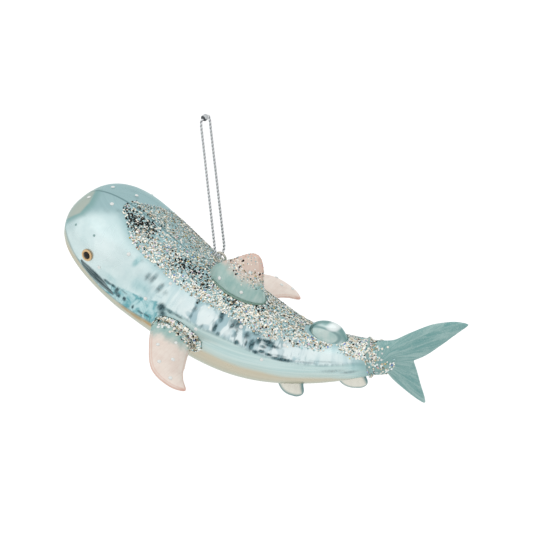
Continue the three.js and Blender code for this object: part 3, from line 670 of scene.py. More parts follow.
def glass_body_material():
    material, tree, shader = new_material("silvered teal glass")
    flow = attribute(tree, "flow", "Vector")
    share = attribute(tree, "share")
    above_belly = attribute(tree, "above_belly")
    shape = use(tree, ripple, {"Vector": here(tree)})
    wobble = noise(tree, here(tree), 120.0, 3.0, 0.6)

    def veins(along, around, detail, rough, distortion):
        """Noise with its own scale along the body and round it."""
        return noise(tree, scaled(tree, flow, (along, around, 1.0)), 1.0, detail, rough, distortion)

    bars = veins(0.32, 0.07, 2.0, 0.5, 0.5)
    small_bars = veins(0.6, 0.2, 3.0, 0.55, 0.8)
    mottle = veins(1.0, 0.8, 4.0, 0.6, 0.6)
    streaks = veins(0.035, 0.9, 3.0, 0.6, 0.4)
    smear = veins(1.1, 0.4, 3.0, 0.6, 0.9)
    pane_reflections = veins(0.24, 0.17, 1.5, 0.45, 0.7)
    dark_reflection_slits = veins(0.55, 0.15, 2.0, 0.5, 0.6)
    waves = veins(0.34, 0.2, 3.0, 0.55, 0.7)
    lines = veins(0.12, 1.5, 3.0, 0.6, 0.6)

    def tone(value, low, high, dark, light):
        return blend(tree, band(tree, value, low, high), dark, light)

    def edge(name, low, high, stir):
        """A soft edge between two colours, stirred by the wobble."""
        shift = sums(tree, "SUBTRACT", wobble, 0.5)
        return band(tree, sums(tree, "MULTIPLY_ADD", shift, stir, attribute(tree, name)), low, high)

    def patch(name, low, high, rough):
        """Dabs that are broken up by the smear."""
        broken = sums(tree, "MULTIPLY_ADD", smear, rough, 1.0 - rough / 2)
        return band(tree, times(tree, attribute(tree, name), broken), low, high)

    # Silver, smooth on the head and barred along the flank, with painted reflections: soft bright clouds on
    # the head, bright and dark bars along the flank, and a rippled zone of painted reflected panes with
    # dark slits
    head = tone(wobble, 0.35, 0.65, srgb(198, 220, 221), srgb(214, 232, 232))
    flank = tone(bars, 0.36, 0.64, srgb(200, 225, 228), srgb(226, 243, 243))
    flank = blend(tree, times(tree, band(tree, small_bars, 0.55, 0.7), 0.5), flank, srgb(170, 199, 204))
    reflected_panes = tone(pane_reflections, 0.43, 0.53, srgb(172, 201, 208), srgb(232, 245, 246))
    reflected_panes = blend(tree, times(tree, band(tree, dark_reflection_slits, 0.58, 0.66), 0.65), reflected_panes, srgb(118, 150, 159))
    flank = blend(tree, attribute(tree, "rippled_reflection_zone"), flank, reflected_panes)
    colour = tone(share, 0.22, 0.38, head, flank)
    # Dabs of painted highlight on the silver
    colour = blend(tree, times(tree, attribute(tree, "painted_highlight"), 0.85), colour, srgb(236, 247, 247))

    # Pale lower flank, dusky towards the head, with a dark crest where it meets the silver
    pale = tone(streaks, 0.36, 0.64, srgb(185, 212, 211), srgb(203, 224, 222))
    near_belly = less(tree, band(tree, above_belly, 0.0, 4.0))
    pale = blend(tree, times(tree, near_belly, 0.6), pale, srgb(190, 203, 194))
    dusky = tone(small_bars, 0.4, 0.6, srgb(150, 186, 189), srgb(186, 214, 215))
    lower = less(tree, edge("above_waterline", -0.4, 0.3, 0.6))
    colour = blend(tree, lower, colour, tone(share, 0.38, 0.46, dusky, pale))
    crest = line(tree, attribute(tree, "above_waterline"), 0.1, 0.9)
    crest = times(tree, crest, band(tree, share, 0.4, 0.46))
    crest = times(tree, crest, band(tree, small_bars, 0.3, 0.6))
    colour = blend(tree, times(tree, crest, 0.5), colour, srgb(122, 152, 158))

    # Teal lacquer in dabs, and the deep teal below the cheek
    teal = tone(waves, 0.36, 0.64, srgb(128, 182, 187), srgb(178, 215, 217))
    colour = blend(tree, patch("teal", 0.1, 0.9, 0.4), colour, teal)
    sea = tone(waves, 0.36, 0.64, srgb(98, 167, 175), srgb(190, 222, 224))
    sea = blend(tree, times(tree, band(tree, small_bars, 0.58, 0.7), 0.6), sea, srgb(72, 126, 136))
    colour = blend(tree, attribute(tree, "sea"), colour, sea)

    # Dusky back and tail stalk
    dusk = blend(tree, streaks, srgb(146, 180, 184), srgb(172, 202, 204))
    colour = blend(tree, edge("above_back", -5.0, 2.4, 5.0), colour, dusk)
    colour = blend(tree, band(tree, share, 0.9, 0.98), colour, srgb(138, 176, 175))

    # Dark smoke in the silver, partly painted dark reflections, and the dark streak behind the eye
    smoke_and_reflection = tone(mottle, 0.4, 0.62, srgb(46, 70, 77), srgb(96, 130, 136))
    colour = blend(tree, patch("smoke_and_dark_reflection", 0.1, 0.8, 0.9), colour, smoke_and_reflection)
    eye_streak_tone = tone(lines, 0.44, 0.62, srgb(48, 70, 74), srgb(116, 134, 137))
    colour = blend(tree, patch("streak", 0.12, 0.6, 0.6), colour, eye_streak_tone)

    # Cream belly with its tan dabs, and a dark rim along its front part
    fore = less(tree, band(tree, share, 0.34, 0.4))
    rim = times(tree, line(tree, above_belly, 0.1, 0.9), fore)
    colour = blend(tree, times(tree, rim, 0.55), colour, srgb(92, 122, 120))
    cream = blend(tree, streaks, srgb(196, 187, 163), srgb(213, 204, 183))
    cream = blend(tree, patch("tan", 0.1, 0.8, 0.5), cream, srgb(184, 154, 106))
    colour = blend(tree, less(tree, edge("above_belly", -1.6, 0.9, 1.0)), colour, cream)

    # Muzzle, and the seam along the crown
    muzzle_rim = times(tree, line(tree, attribute(tree, "muzzle"), 0.5, 3.0), 0.75)
    colour = blend(tree, muzzle_rim, colour, srgb(124, 166, 163))
    colour = blend(tree, edge("muzzle", -0.6, 0.6, 0.6), colour, srgb(180, 190, 180))
    seam = line(tree, attribute(tree, "from_seam"), 0.03, 0.24)
    seam = times(tree, seam, less(tree, band(tree, share, 0.44, 0.48)))
    colour = blend(tree, times(tree, seam, 0.75), colour, srgb(84, 122, 126))
    fill(tree, shader, {
        "Base Color": colour,
        "Roughness": sums(tree, "MULTIPLY_ADD", shape["Mottle"], 0.08, 0.25),
        "Metallic": 0.6,
        "Specular Tint": GLASS_TINT,
        "Coat Weight": 0.15,
        "Coat Roughness": 0.12,
    })
    bumped(tree, shader, 0.35, 0.0006, shape["Height"])
    return material


body = sphere_over("glass_shell", 300, 300, body_place)
finish_piece(body, "shark", glass_body_material(), "silvered_glass", "glass_body")


# Small fins of the same glass

HOLLOW_MIDDLE, HOLLOW_TILT, HOLLOW_HALF_SIZES = 5.0, 0.12, (5.6, 2.6)
# Where the painted highlight on the second dorsal fin sits, and its half sizes
HIGHLIGHT_MIDDLE, HIGHLIGHT_HALF_SIZES = (8.4, 3.2), (2.8, 1.3)


def oval_reach(tree, along, above, half_sizes):
    """The square of the distance from an oval's middle, which is 1 at its edge."""
    long = sums(tree, "POWER", sums(tree, "DIVIDE", along, half_sizes[0]), 2.0)
    high = sums(tree, "POWER", sums(tree, "DIVIDE", above, half_sizes[1]), 2.0)
    return sums(tree, "ADD", long, high)


def hollow_colours(tree, colour, cloud):
    """The oval hollow of the second dorsal fin: a dark ring, a pale middle and a painted highlight in one
    corner.
    """
    place = add(tree, "ShaderNodeSeparateXYZ", {0: attribute(tree, "flat", "Vector")}).outputs
    along = sums(tree, "SUBTRACT", place["X"], HOLLOW_MIDDLE)
    above = sums(tree, "MULTIPLY_ADD", along, HOLLOW_TILT, place["Y"])
    reach = oval_reach(tree, along, above, HOLLOW_HALF_SIZES)
    ring = times(tree, line(tree, sums(tree, "SUBTRACT", reach, 1.0), 0.12, 0.5), 0.8)
    colour = blend(tree, ring, colour, srgb(106, 146, 146))
    pale = blend(tree, cloud, srgb(202, 218, 213), srgb(172, 201, 197))
    colour = blend(tree, less(tree, band(tree, reach, 0.7, 1.0)), colour, pale)
    # A painted highlight in one corner of the fin
    along = sums(tree, "SUBTRACT", place["X"], HIGHLIGHT_MIDDLE[0])
    above = sums(tree, "SUBTRACT", place["Y"], HIGHLIGHT_MIDDLE[1])
    clear = less(tree, band(tree, oval_reach(tree, along, above, HIGHLIGHT_HALF_SIZES), 0.1, 1.6))
    return blend(tree, times(tree, clear, 0.9), colour, srgb(242, 250, 249))


def small_fin_material(name, middle, edge_colour, edge_width, tip_from, hollow):
    material, tree, shader = new_material(name)
    shape = use(tree, ripple, {"Vector": here(tree)})
    brush = use(tree, strokes, {"Vector": attribute(tree, "flat", "Vector")})
    near = less(tree, band(tree, attribute(tree, "from_edge"), 0.2, edge_width))
    near = sums(tree, "MAXIMUM", near, band(tree, attribute(tree, "share"), tip_from, 1.0))
    colour = blend(tree, brush["Strokes"], tuple(0.94 * c for c in middle), middle)
    colour = blend(tree, near, colour, edge_colour)
    if hollow:
        colour = hollow_colours(tree, colour, brush["Cloud"])
    fill(tree, shader, {
        "Base Color": colour,
        "Metallic": 0.5,
        "Roughness": 0.14,
        "Specular Tint": GLASS_TINT,
        "Coat Weight": 0.5,
        "Coat Roughness": 0.03,
    })
    bumped(tree, shader, 0.25, 0.0004, shape["Height"])
    return material


bubble_glass = small_fin_material(
    "bubble glass", middle=srgb(202, 222, 219), edge_colour=srgb(120, 160, 158),
    edge_width=2.6, tip_from=0.9, hollow=True)
cream_glass = small_fin_material(
    "cream glass", middle=srgb(228, 226, 214), edge_colour=srgb(104, 142, 142),
    edge_width=2.0, tip_from=0.94, hollow=False)
for name, seat, knots, material in [
    ("second_dorsal_fin", second_seat, SECOND_DORSAL, bubble_glass),
    ("anal_fin", anal_seat, ANAL, cream_glass),
    ("left_pelvic_fin", pelvic_left_seat, PELVIC, cream_glass),
    ("right_pelvic_fin", pelvic_right_seat, PELVIC, cream_glass),
]:
    blade = fin_piece(name, seat, knots, rings=48, sides=40)
    finish_piece(blade, "shark", material, "silvered_glass")


# Painted fins

def fin_paint(name, teal_from, teal_to, pink, deep_pink, tip_shade, tilt):
    """Paint that is teal at the root, turns pink between teal_from and teal_to, and has a rosy rim of
    painted shade along its edges and around its tip.
    """
    material, tree, shader = new_material(name)
    flat = attribute(tree, "flat", "Vector")
    brush = use(tree, strokes, {"Vector": flat})
    aft = add(tree, "ShaderNodeSeparateXYZ", {0: flat}).outputs["X"]
    reach = sums(tree, "MULTIPLY_ADD", aft, tilt, attribute(tree, "reach"))
    stirred = sums(tree, "MULTIPLY_ADD", sums(tree, "SUBTRACT", brush["Cloud"], 0.5), 2.2, reach)
    top = band(tree, stirred, teal_from, teal_to)
    mixed = sums(tree, "MULTIPLY_ADD", brush["Strokes"], 0.4, times(tree, brush["Cloud"], 0.6))
    rose = blend(tree, mixed, deep_pink, pink)
    teal = blend(tree, mixed, srgb(154, 194, 188), srgb(194, 218, 211))
    colour = blend(tree, top, teal, rose)
    # The rosy rim is painted shade along the blade's edges and around its tip
    from_edge = attribute(tree, "from_edge")
    edge = less(tree, band(tree, from_edge, 0.0, 0.5))
    ring = times(tree, line(tree, sums(tree, "SUBTRACT", from_edge, 0.75), 0.05, 0.3), 0.3)
    rim = times(tree, sums(tree, "MAXIMUM", ring, times(tree, edge, 0.5)), top)
    near_edge = less(tree, band(tree, from_edge, 0.2, 1.6))
    tip = times(tree, band(tree, attribute(tree, "share"), 0.86, 0.98), near_edge)
    rim = sums(tree, "MAXIMUM", rim, times(tree, tip, tip_shade))
    colour = blend(tree, rim, colour, srgb(220, 160, 138))
    speck = times(tree, band(tree, brush["Grain"], 0.6, 0.75), 0.25)
    fill(tree, shader, {
        "Base Color": blend(tree, speck, colour, srgb(240, 232, 224)),
        "Roughness": sums(tree, "MULTIPLY_ADD", brush["Grain"], 0.15, 0.3),
        "Metallic": 0.1,
        "Coat Weight": 0.2,
        "Coat Roughness": 0.15,
    })
    height = sums(tree, "MULTIPLY_ADD", brush["Grain"], 0.3, times(tree, brush["Strokes"], 0.6))
    bumped(tree, shader, 0.2, 0.0002, height)
    return material


dorsal_paint = fin_paint(
    "dorsal fin paint", teal_from=5.0, teal_to=10.5,
    pink=srgb(242, 223, 209), deep_pink=srgb(224, 200, 186), tip_shade=0.15, tilt=0.0)
pectoral_paint = fin_paint(
    "pectoral fin paint", teal_from=4.0, teal_to=11.0,
    pink=srgb(250, 238, 227), deep_pink=srgb(238, 220, 208), tip_shade=0.7, tilt=0.22)
dorsal = fin_piece("dorsal_fin_painted", dorsal_seat, DORSAL)
finish_piece(dorsal, "shark", dorsal_paint, "pink_fin_paint", "dorsal_fin")
for side, seat in (("left", left_seat), ("right", right_seat)):
    blade = fin_piece(f"{side}_pectoral_fin_painted", seat, PECTORAL)
    finish_piece(blade, "shark", pectoral_paint, "pink_fin_paint", f"pectoral_fin_{side}")


def tail_paint():
    material, tree, shader = new_material("tail fin paint")
    brush = use(tree, strokes, {"Vector": attribute(tree, "fan", "Vector")})
    colour = blend(tree, brush["Strokes"], srgb(114, 168, 166), srgb(172, 205, 201))
    colour = blend(tree, times(tree, brush["Cloud"], 0.35), colour, srgb(148, 187, 184))
    dark = times(tree, band(tree, brush["Grain"], 0.54, 0.7), 0.4)
    colour = blend(tree, dark, colour, srgb(92, 150, 150))
    fleck = times(tree, less(tree, band(tree, brush["Grain"], 0.34, 0.44)), 0.35)
    fill(tree, shader, {
        "Base Color": blend(tree, fleck, colour, srgb(196, 216, 212)),
        "Roughness": sums(tree, "MULTIPLY_ADD", brush["Grain"], 0.2, 0.4),
        "Metallic": 0.1,
    })
    bumped(tree, shader, 0.35, 0.0003, sums(tree, "MULTIPLY_ADD", brush["Grain"], 0.3, brush["Strokes"]))
    return material


FAN_AHEAD, FAN_ABOVE, FAN_SPREAD = 3, 1, 15


def tail_piece():
    """Both lobes and the socket as one blade, with strokes that fan out from near its root."""
    obj = joined([
        fin_piece("tail_upper", tail_seat, UPPER_LOBE),
        fin_piece("tail_lower", tail_seat, LOWER_LOBE),
        fin_piece("tail_socket", tail_seat, SOCKET),
    ])
    obj.name = "tail_fin_painted"
    modify(obj, "REMESH", mode="VOXEL", voxel_size=0.3 * MM)
    modify(obj, "SMOOTH", factor=0.5, iterations=12)
    outward(obj)
    away = corners(obj) / MM - tail_origin
    aft, out = away @ tail_seat[1] + FAN_AHEAD, away @ tail_seat[2] - FAN_ABOVE
    side = away @ np.cross(tail_seat[1], tail_seat[2])
    angle, radius = np.arctan2(out, aft), np.hypot(out, aft)
    note(obj, "fan", np.column_stack([angle * FAN_SPREAD, radius, side]), "FLOAT_VECTOR")
    return obj


tail = finish_piece(tail_piece(), "shark", tail_paint(), "teal_fin_paint", "caudal_fin")


# Glue beads, softened from their CAD shapes

def softened(name, node, voxel, rounds):
    """A copy of a CAD node, remeshed at a voxel in millimetres and smoothed over a number of rounds."""
    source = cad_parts[node]
    mesh = source.data.copy()
    mesh.transform(source.matrix_world)
    obj = bpy.data.objects.new(name, mesh)
    bpy.context.scene.collection.objects.link(obj)
    edit(obj, lambda: bpy.ops.mesh.remove_doubles(threshold=1e-6))
    modify(obj, "REMESH", mode="VOXEL", voxel_size=voxel * MM)
    modify(obj, "SMOOTH", factor=0.5, iterations=rounds)
    outward(obj)
    return obj


def glue_material(name, dark, light):
    material, tree, shader = new_material(name)
    cloud = noise(tree, here(tree), 900.0, 3.0, 0.6)
    fill(tree, shader, {
        "Base Color": blend(tree, cloud, dark, light),
        "Roughness": 0.3,
        "Coat Weight": 0.4,
    })
    bumped(tree, shader, 0.3, 0.0003, cloud)
    return material


# The glue at the dorsal and pectoral roots is painted dark green, as painted shade in the gap between fin
# and body
root_shade_glue = glue_material("glue in painted shade", srgb(90, 130, 114), srgb(140, 174, 160))
teal_glue = glue_material("teal glue", srgb(128, 170, 168), srgb(148, 186, 183))
beads = {}
for name, node, glue, rounds in [
    ("dorsal_glue_bead", "dorsal_seat_bead", root_shade_glue, 6),
    ("tail_glue_bead", "tail_seat_bead", teal_glue, 30),
    ("left_pectoral_glue_bead", "pectoral_seat_bead_left", root_shade_glue, 6),
    ("right_pectoral_glue_bead", "pectoral_seat_bead_right", root_shade_glue, 6),
]:
    bead = softened(name, node, voxel=0.16, rounds=rounds)
    beads[node] = finish_piece(bead, "shark", glue, "glitter_glue", node)


# Glitter flakes

# Edges of the glitter on the back and on the tail stalk: share of length, turn from the flank
GLITTER_EDGE = [
    (0.12, 90), (0.13, 81), (0.17, 69), (0.205, 58), (0.26, 53), (0.325, 52), (0.395, 50), (0.465, 48),
    (0.53, 47), (0.585, 46), (0.645, 42), (0.7, 40), (0.77, 43), (0.835, 44), (0.87, 62),
]
STALK_EDGE = [(0.87, 60), (0.89, 40), (0.92, 34), (0.95, 28), (0.965, 12), (0.98, -20), (0.99, -60)]
# Where dark flakes crowd: share of length, degrees round the body, size of the crowd
DARK_SPOTS = [
    (0.14, 84, 2.2), (0.16, 80, 2.4), (0.185, 78, 2.4), (0.145, 88, 2.2), (0.17, 86, 2.4),
    (0.195, 84, 2.6), (0.22, 83, 2.4), (0.24, 80, 1.8), (0.345, 72, 2.2), (0.365, 74, 2.4),
    (0.395, 78, 2.6), (0.425, 76, 2.6), (0.45, 69, 2.2), (0.53, 66, 1.6), (0.56, 66, 1.6), (0.635, 79, 2),
    (0.47, 132, 3), (0.3, 138, 3), (0.66, 132, 2.4),
]
DARK_CROWDING = 22
# Foil colours and how common they are, black first
PALETTE = [
    (srgb(30, 26, 21), 0.05), (srgb(246, 242, 228), 0.34), (srgb(238, 243, 241), 0.19),
    (srgb(206, 190, 160), 0.1), (srgb(172, 206, 208), 0.16), (srgb(148, 140, 116), 0.06),
    (srgb(126, 166, 170), 0.05), (srgb(222, 196, 220), 0.015), (srgb(132, 156, 220), 0.007),
    (srgb(214, 186, 80), 0.007), (srgb(150, 40, 44), 0.001),
]
FULL_TURN = 6.28


def tints(count, dark):
    """Foil colours drawn from the palette, with the black flakes made likelier by dark."""
    odds = np.tile([weight for _, weight in PALETTE], (count, 1))
    odds[:, 0] *= dark
    odds = np.cumsum(odds, axis=1) / odds.sum(axis=1, keepdims=True)
    picks = (odds < rng.uniform(0, 1, (count, 1))).sum(axis=1)
    colours = np.array([colour for colour, _ in PALETTE])
    return colours[picks] * rng.uniform(0.72, 1.05, (count, 1))


def clusters(points):
    """A patchy value about 0, from a few waves that run at random through space."""
    value = np.zeros(len(points))
    for _ in range(7):
        way = rng.normal(size=3)
        wave = points @ way / np.linalg.norm(way) / rng.uniform(1.2, 3.2)
        value += np.sin(wave + rng.uniform(0, FULL_TURN))
    return value / 1.9


def flake(name, sides, depth):
    return primitive(name, bpy.ops.mesh.primitive_cylinder_add, vertices=sides, radius=1, depth=depth)


def glitter_material():
    material, tree, shader = new_material("glitter foil")
    fill(tree, shader, {
        "Base Color": attribute(tree, "tint", "Color"),
        "Metallic": 0.75,
        "Roughness": 0.25,
    })
    return material


foil = glitter_material()
hexagon = flake("flake_hexagon", sides=6, depth=0.16)
tile = flake("flake_tile", sides=4, depth=0.22)


def scatter(name, template, spots, sizes, lean, lift, dark):
    """A piece of many flakes at given spots, each with its own size, lean, lift and foil colour."""
    points, normals = spots
    count = len(points)
    spin, lean_way = rng.uniform(0, FULL_TURN, count), rng.uniform(0, FULL_TURN, count)
    turns = facing(normals, spin, np.abs(rng.normal(0, lean, count)), lean_way)
    places = points + normals * rng.uniform(0.02, lift, (count, 1))
    obj = repeated(name, template, rng.uniform(*sizes, count), turns, places, tints(count, dark))
    return finish_piece(obj, "shark", foil, "glitter_glue")


def under_fin(points, seat, middle, half_long, half_thick):
    """Whether points lie under a fin's root, taken as an oval."""
    origin, aft, out = seat
    away = points - origin
    x, y = (away @ aft - middle) / half_long, (away @ np.cross(aft, out)) / half_thick
    return x**2 + y**2 < 1


TRIES_PER_FLAKE = 16
FULL_RADIUS = 22
RIGHT_SIDE_FROM = 96
WIRE_CLEARANCE = 2.3
SEAM_CLEARANCE, SEAM_TO = 0.25, 0.34


def back_spots(count, left_odds, right_odds):
    """Places for flakes on the back and the tail stalk, and how likely each flake is to be dark."""
    share = rng.uniform(0.11, 0.995, count * TRIES_PER_FLAKE)
    degrees = rng.uniform(-60, 240, len(share))
    turn, right = folded(degrees)
    radius = mean_radius(share)
    lower = BACK_LOWER_ON_RIGHT * smooth(0.16, 0.26, share) - 4
    edge = along_table(GLITTER_EDGE, share) - np.where(right, lower, 0.0)
    inside = np.radians(turn - edge) * radius + rng.normal(0, 0.45, len(share))
    dense = smooth(-0.5, 0.9, inside) * smooth(0.118, 0.126, share) * (1 - smooth(0.85, 0.88, share))
    points = skin(share, degrees)
    patch = smooth(-1.3, -0.1, clusters(points))
    on_stalk = np.radians(turn - along_table(STALK_EDGE, share)) * radius
    on_stalk = smooth(-0.4, 0.8, on_stalk + rng.normal(0, 0.6, len(share)))
    stalk = 3.2 * smooth(0.872, 0.9, share) * on_stalk * smooth(-0.7, 0.3, clusters(points))
    far_side = (degrees > RIGHT_SIDE_FROM) & (share < 0.5)
    odds = np.where(far_side, right_odds, left_odds) * radius / FULL_RADIUS
    keep = np.maximum(dense * (0.45 + 0.55 * patch), stalk) * odds > rng.uniform(0, 1, len(share))
    share, degrees, points = share[keep], degrees[keep], points[keep]
    dark = 0.5 + 0.5 * np.maximum(0, clusters(points))
    for at, angle, size in DARK_SPOTS:
        away = np.linalg.norm(points - skin(at, angle), axis=1)
        dark = dark + DARK_CROWDING * np.exp(-((away / size) ** 2))
    clear = ~under_fin(points, dorsal_seat, middle=-1.0, half_long=12.2, half_thick=5.6)
    clear &= ~under_fin(points, second_seat, middle=5.2, half_long=8.6, half_thick=4.6)
    clear &= np.hypot(points[:, 0], points[:, 1]) > WIRE_CLEARANCE
    from_seam = np.abs(np.radians(degrees - 90) * mean_radius(share))
    clear &= (from_seam > SEAM_CLEARANCE) | (share > SEAM_TO)
    points, normals, dark = points[clear], skin_normal(share, degrees)[clear], dark[clear]
    picks = rng.permutation(len(points))[:count]
    return (points[picks], normals[picks]), dark[picks]


spots, dark = back_spots(count=7800, left_odds=1.0, right_odds=0.3)
scatter("back_glitter", hexagon, spots, sizes=(0.27, 0.43), lean=0.22, lift=0.28, dark=dark)
spots, dark = back_spots(count=8200, left_odds=0.5, right_odds=1.0)
scatter("back_glitter_fine", tile, spots, sizes=(0.14, 0.25), lean=0.3, lift=0.22, dark=dark)


def fin_spots(seat, knots, count, wanted):
    """Places on a fin, where wanted gives the odds of each."""
    share = rng.uniform(0.0, 0.98, count * 30)
    turn = rng.uniform(0, 2 * math.pi, len(share))
    aft, out, _, _ = fin_section(knots, share, turn)
    keep = wanted(aft, out) > rng.uniform(0, 1, len(share))
    share, turn = share[keep][:count], turn[keep][:count]
    return fin(seat, knots, share, turn), fin_normal(seat, knots, share, turn)


def mesh_spots(obj, count, wanted):
    """Places on a fine mesh, where wanted gives each face its weight."""
    mesh = obj.data
    centres, normals = np.empty(len(mesh.polygons) * 3), np.empty(len(mesh.polygons) * 3)
    mesh.polygons.foreach_get("center", centres)
    mesh.polygons.foreach_get("normal", normals)
    centres, normals = centres.reshape(-1, 3) / MM, normals.reshape(-1, 3)
    odds = wanted(centres, normals)
    picks = rng.choice(len(odds), count, p=odds / odds.sum())
    return centres[picks], normals[picks]


def pectoral_band(aft, out):
    return smooth(0.2, 1.0, out) * (1 - smooth(2.4, 4.8, out))


for side, seat in (("left", left_seat), ("right", right_seat)):
    def collar_top(places, normals):
        return smooth(0.1, 0.5, normals @ seat[2])

    spots = mesh_spots(beads[f"pectoral_seat_bead_{side}"], 560, collar_top)
    scatter(f"{side}_collar_glitter", hexagon, spots, sizes=(0.36, 0.58), lean=0.3, lift=0.2, dark=0.45)
    spots = fin_spots(seat, PECTORAL, 460, pectoral_band)
    scatter(f"{side}_pectoral_glitter", hexagon, spots, sizes=(0.36, 0.58), lean=0.25, lift=0.2, dark=0.6)


def crowd(x, y, half_x, half_y):
    return np.exp(-((x / half_x) ** 2) - (y / half_y) ** 2)


def dorsal_band(aft, out):
    return smooth(4.5, 7.5, out + 0.25 * aft) * (1 - 0.75 * smooth(10, 13, out))


def dorsal_corners(aft, out):
    return np.maximum(crowd(aft + 3.4, out - 11, 2.6, 2.6), crowd(aft - 5.4, out - 9.6, 1.0, 1.8))


def bead_patches(places, normals):
    return 0.25 + smooth(-0.5, 0.4, clusters(places))


def tail_root(places, normals):
    away = places - tail_origin
    aft, out = away @ tail_seat[1], away @ tail_seat[2]
    low = crowd(aft + 0.8, out + 2.2, 3, 2.8)
    front = 0.7 * crowd(aft + 4.5, 0, 1.6, 1) + 0.5 * crowd(aft + 3, out - 4, 2.4, 2)
    return np.maximum(low, front) * (1 + 0.6 * np.sin(1.7 * aft + 2 * out))


spots = fin_spots(dorsal_seat, DORSAL, 420, dorsal_band)
scatter("dorsal_glitter_fine", tile, spots, sizes=(0.2, 0.34), lean=0.25, lift=0.1, dark=0.3)
spots = fin_spots(dorsal_seat, DORSAL, 60, dorsal_corners)
scatter("dorsal_glitter", hexagon, spots, sizes=(0.28, 0.42), lean=0.2, lift=0.1, dark=14.0)
spots = mesh_spots(beads["tail_seat_bead"], 230, bead_patches)
scatter("tail_bead_glitter", hexagon, spots, sizes=(0.28, 0.48), lean=0.22, lift=0.18, dark=0.7)
spots = mesh_spots(tail, 520, tail_root)
scatter("tail_root_glitter", hexagon, spots, sizes=(0.3, 0.5), lean=0.25, lift=0.2, dark=1.1)
for obj in (hexagon, tile):
    bpy.data.objects.remove(obj)


# Raised enamel dots

# Dots on the body: share of length, degrees round it
FLANK_DOTS = [
    (0.23, 43), (0.185, 5), (0.37, 46), (0.34, 12), (0.5, 15), (0.61, 41), (0.74, 39), (0.69, 8),
]
HEAD_DOTS = [(0.06, 103), (0.12, 105), (0.04, 78), (0.1, 81)]
CHEEK_DOTS = [(0.065, 29), (0.125, 34), (0.07, 148), (0.13, 144)]
# Dots on the fins: share from root to tip, turn round the blade in radians
FIN_DOTS = [
    (dorsal_seat, DORSAL, [(0.37, 2.2), (0.42, 1.3), (0.75, 1.35), (0.4, 4.2), (0.43, 5.2), (0.72, 4.9)]),
    (left_seat, PECTORAL, [
        (0.23, 3.9), (0.39, 4.05), (0.33, 4.95), (0.56, 4.15), (0.52, 4.95), (0.76, 4.3),
    ]),
    (right_seat, PECTORAL, [(0.3, 2.3), (0.42, 1.6), (0.5, 2.4), (0.64, 2.65), (0.68, 1.65), (0.83, 2)]),
]
DOT_FLATNESS, DOT_SIZES, CHEEK_DOT_SIZE = 0.55, (0.66, 0.84), 0.5


def enamel_material():
    material, tree, shader = new_material("enamel drops")
    cloud = noise(tree, here(tree), 1500.0, 2.0, 0.5)
    tint = attribute(tree, "tint", "Color")
    colour = blend(tree, times(tree, cloud, 0.3), tint, srgb(214, 226, 224))
    # Painted shadow darkens each dot towards its foot
    foot_shadow = times(tree, less(tree, band(tree, attribute(tree, "high"), 0.02, 0.2)), 0.4)
    fill(tree, shader, {
        "Base Color": blend(tree, foot_shadow, colour, srgb(108, 140, 140)),
        "Roughness": 0.25,
        "Coat Weight": 0.5,
    })
    return material


def dots_piece():
    drop = primitive("enamel_drop", bpy.ops.mesh.primitive_uv_sphere_add,
                     segments=20, ring_count=12, radius=1)
    edit(drop, lambda: bpy.ops.transform.resize(value=(1, 1, DOT_FLATNESS)))
    spots = CHEEK_DOTS + HEAD_DOTS + FLANK_DOTS
    spots = spots + [(share + 0.012, 180 - degrees + 5) for share, degrees in FLANK_DOTS]
    share, degrees = np.array(spots).T
    points, normals = [skin(share, degrees)], [skin_normal(share, degrees)]
    for seat, knots, places in FIN_DOTS:
        share, turn = np.array(places).T
        points.append(fin(seat, knots, share, turn))
        normals.append(fin_normal(seat, knots, share, turn))
    points, normals = np.vstack(points), np.vstack(normals)
    count = len(points)
    still = np.zeros(count)
    turns = facing(normals, rng.uniform(0, FULL_TURN, count), still, still)
    sizes = rng.uniform(*DOT_SIZES, count)
    sizes[:len(CHEEK_DOTS)] = CHEEK_DOT_SIZE
    colours = np.tile(srgb(248, 250, 247), (count, 1))
    # The cheek dots are coloured dark teal as painted shade
    colours[:len(CHEEK_DOTS)] = srgb(112, 160, 158)
    obj = repeated("enamel_dots", drop, sizes, turns, points, colours)
    bpy.data.objects.remove(drop)
    outward(obj)
    return obj


finish_piece(dots_piece(), "shark", enamel_material(), "silvered_glass")


# Eyes

def iris_material():
    material, tree, shader = new_material("amber iris")
    radius = attribute(tree, "radius")
    cloud = noise(tree, here(tree), 1400.0, 3.0, 0.6)
    colour = blend(tree, cloud, srgb(222, 178, 120), srgb(242, 212, 162))
    outline = times(tree, band(tree, radius, 2.26, 2.4), 0.8)
    colour = blend(tree, outline, colour, srgb(104, 78, 54))
    inner = less(tree, band(tree, radius, 1.4, 1.5))
    fill(tree, shader, {
        "Base Color": blend(tree, inner, colour, srgb(62, 48, 38)),
        "Roughness": 0.3,
        "Coat Weight": 0.3,
    })
    return material


def pupil_material():
    material, tree, shader = new_material("black pupil")
    cloud = noise(tree, here(tree), 800.0, 2.0, 0.5)
    fill(tree, shader, {
        "Base Color": blend(tree, cloud, srgb(8, 8, 9), srgb(18, 19, 21)),
        "Roughness": 0.12,
        "Specular IOR Level": 0.3,
    })
    return material


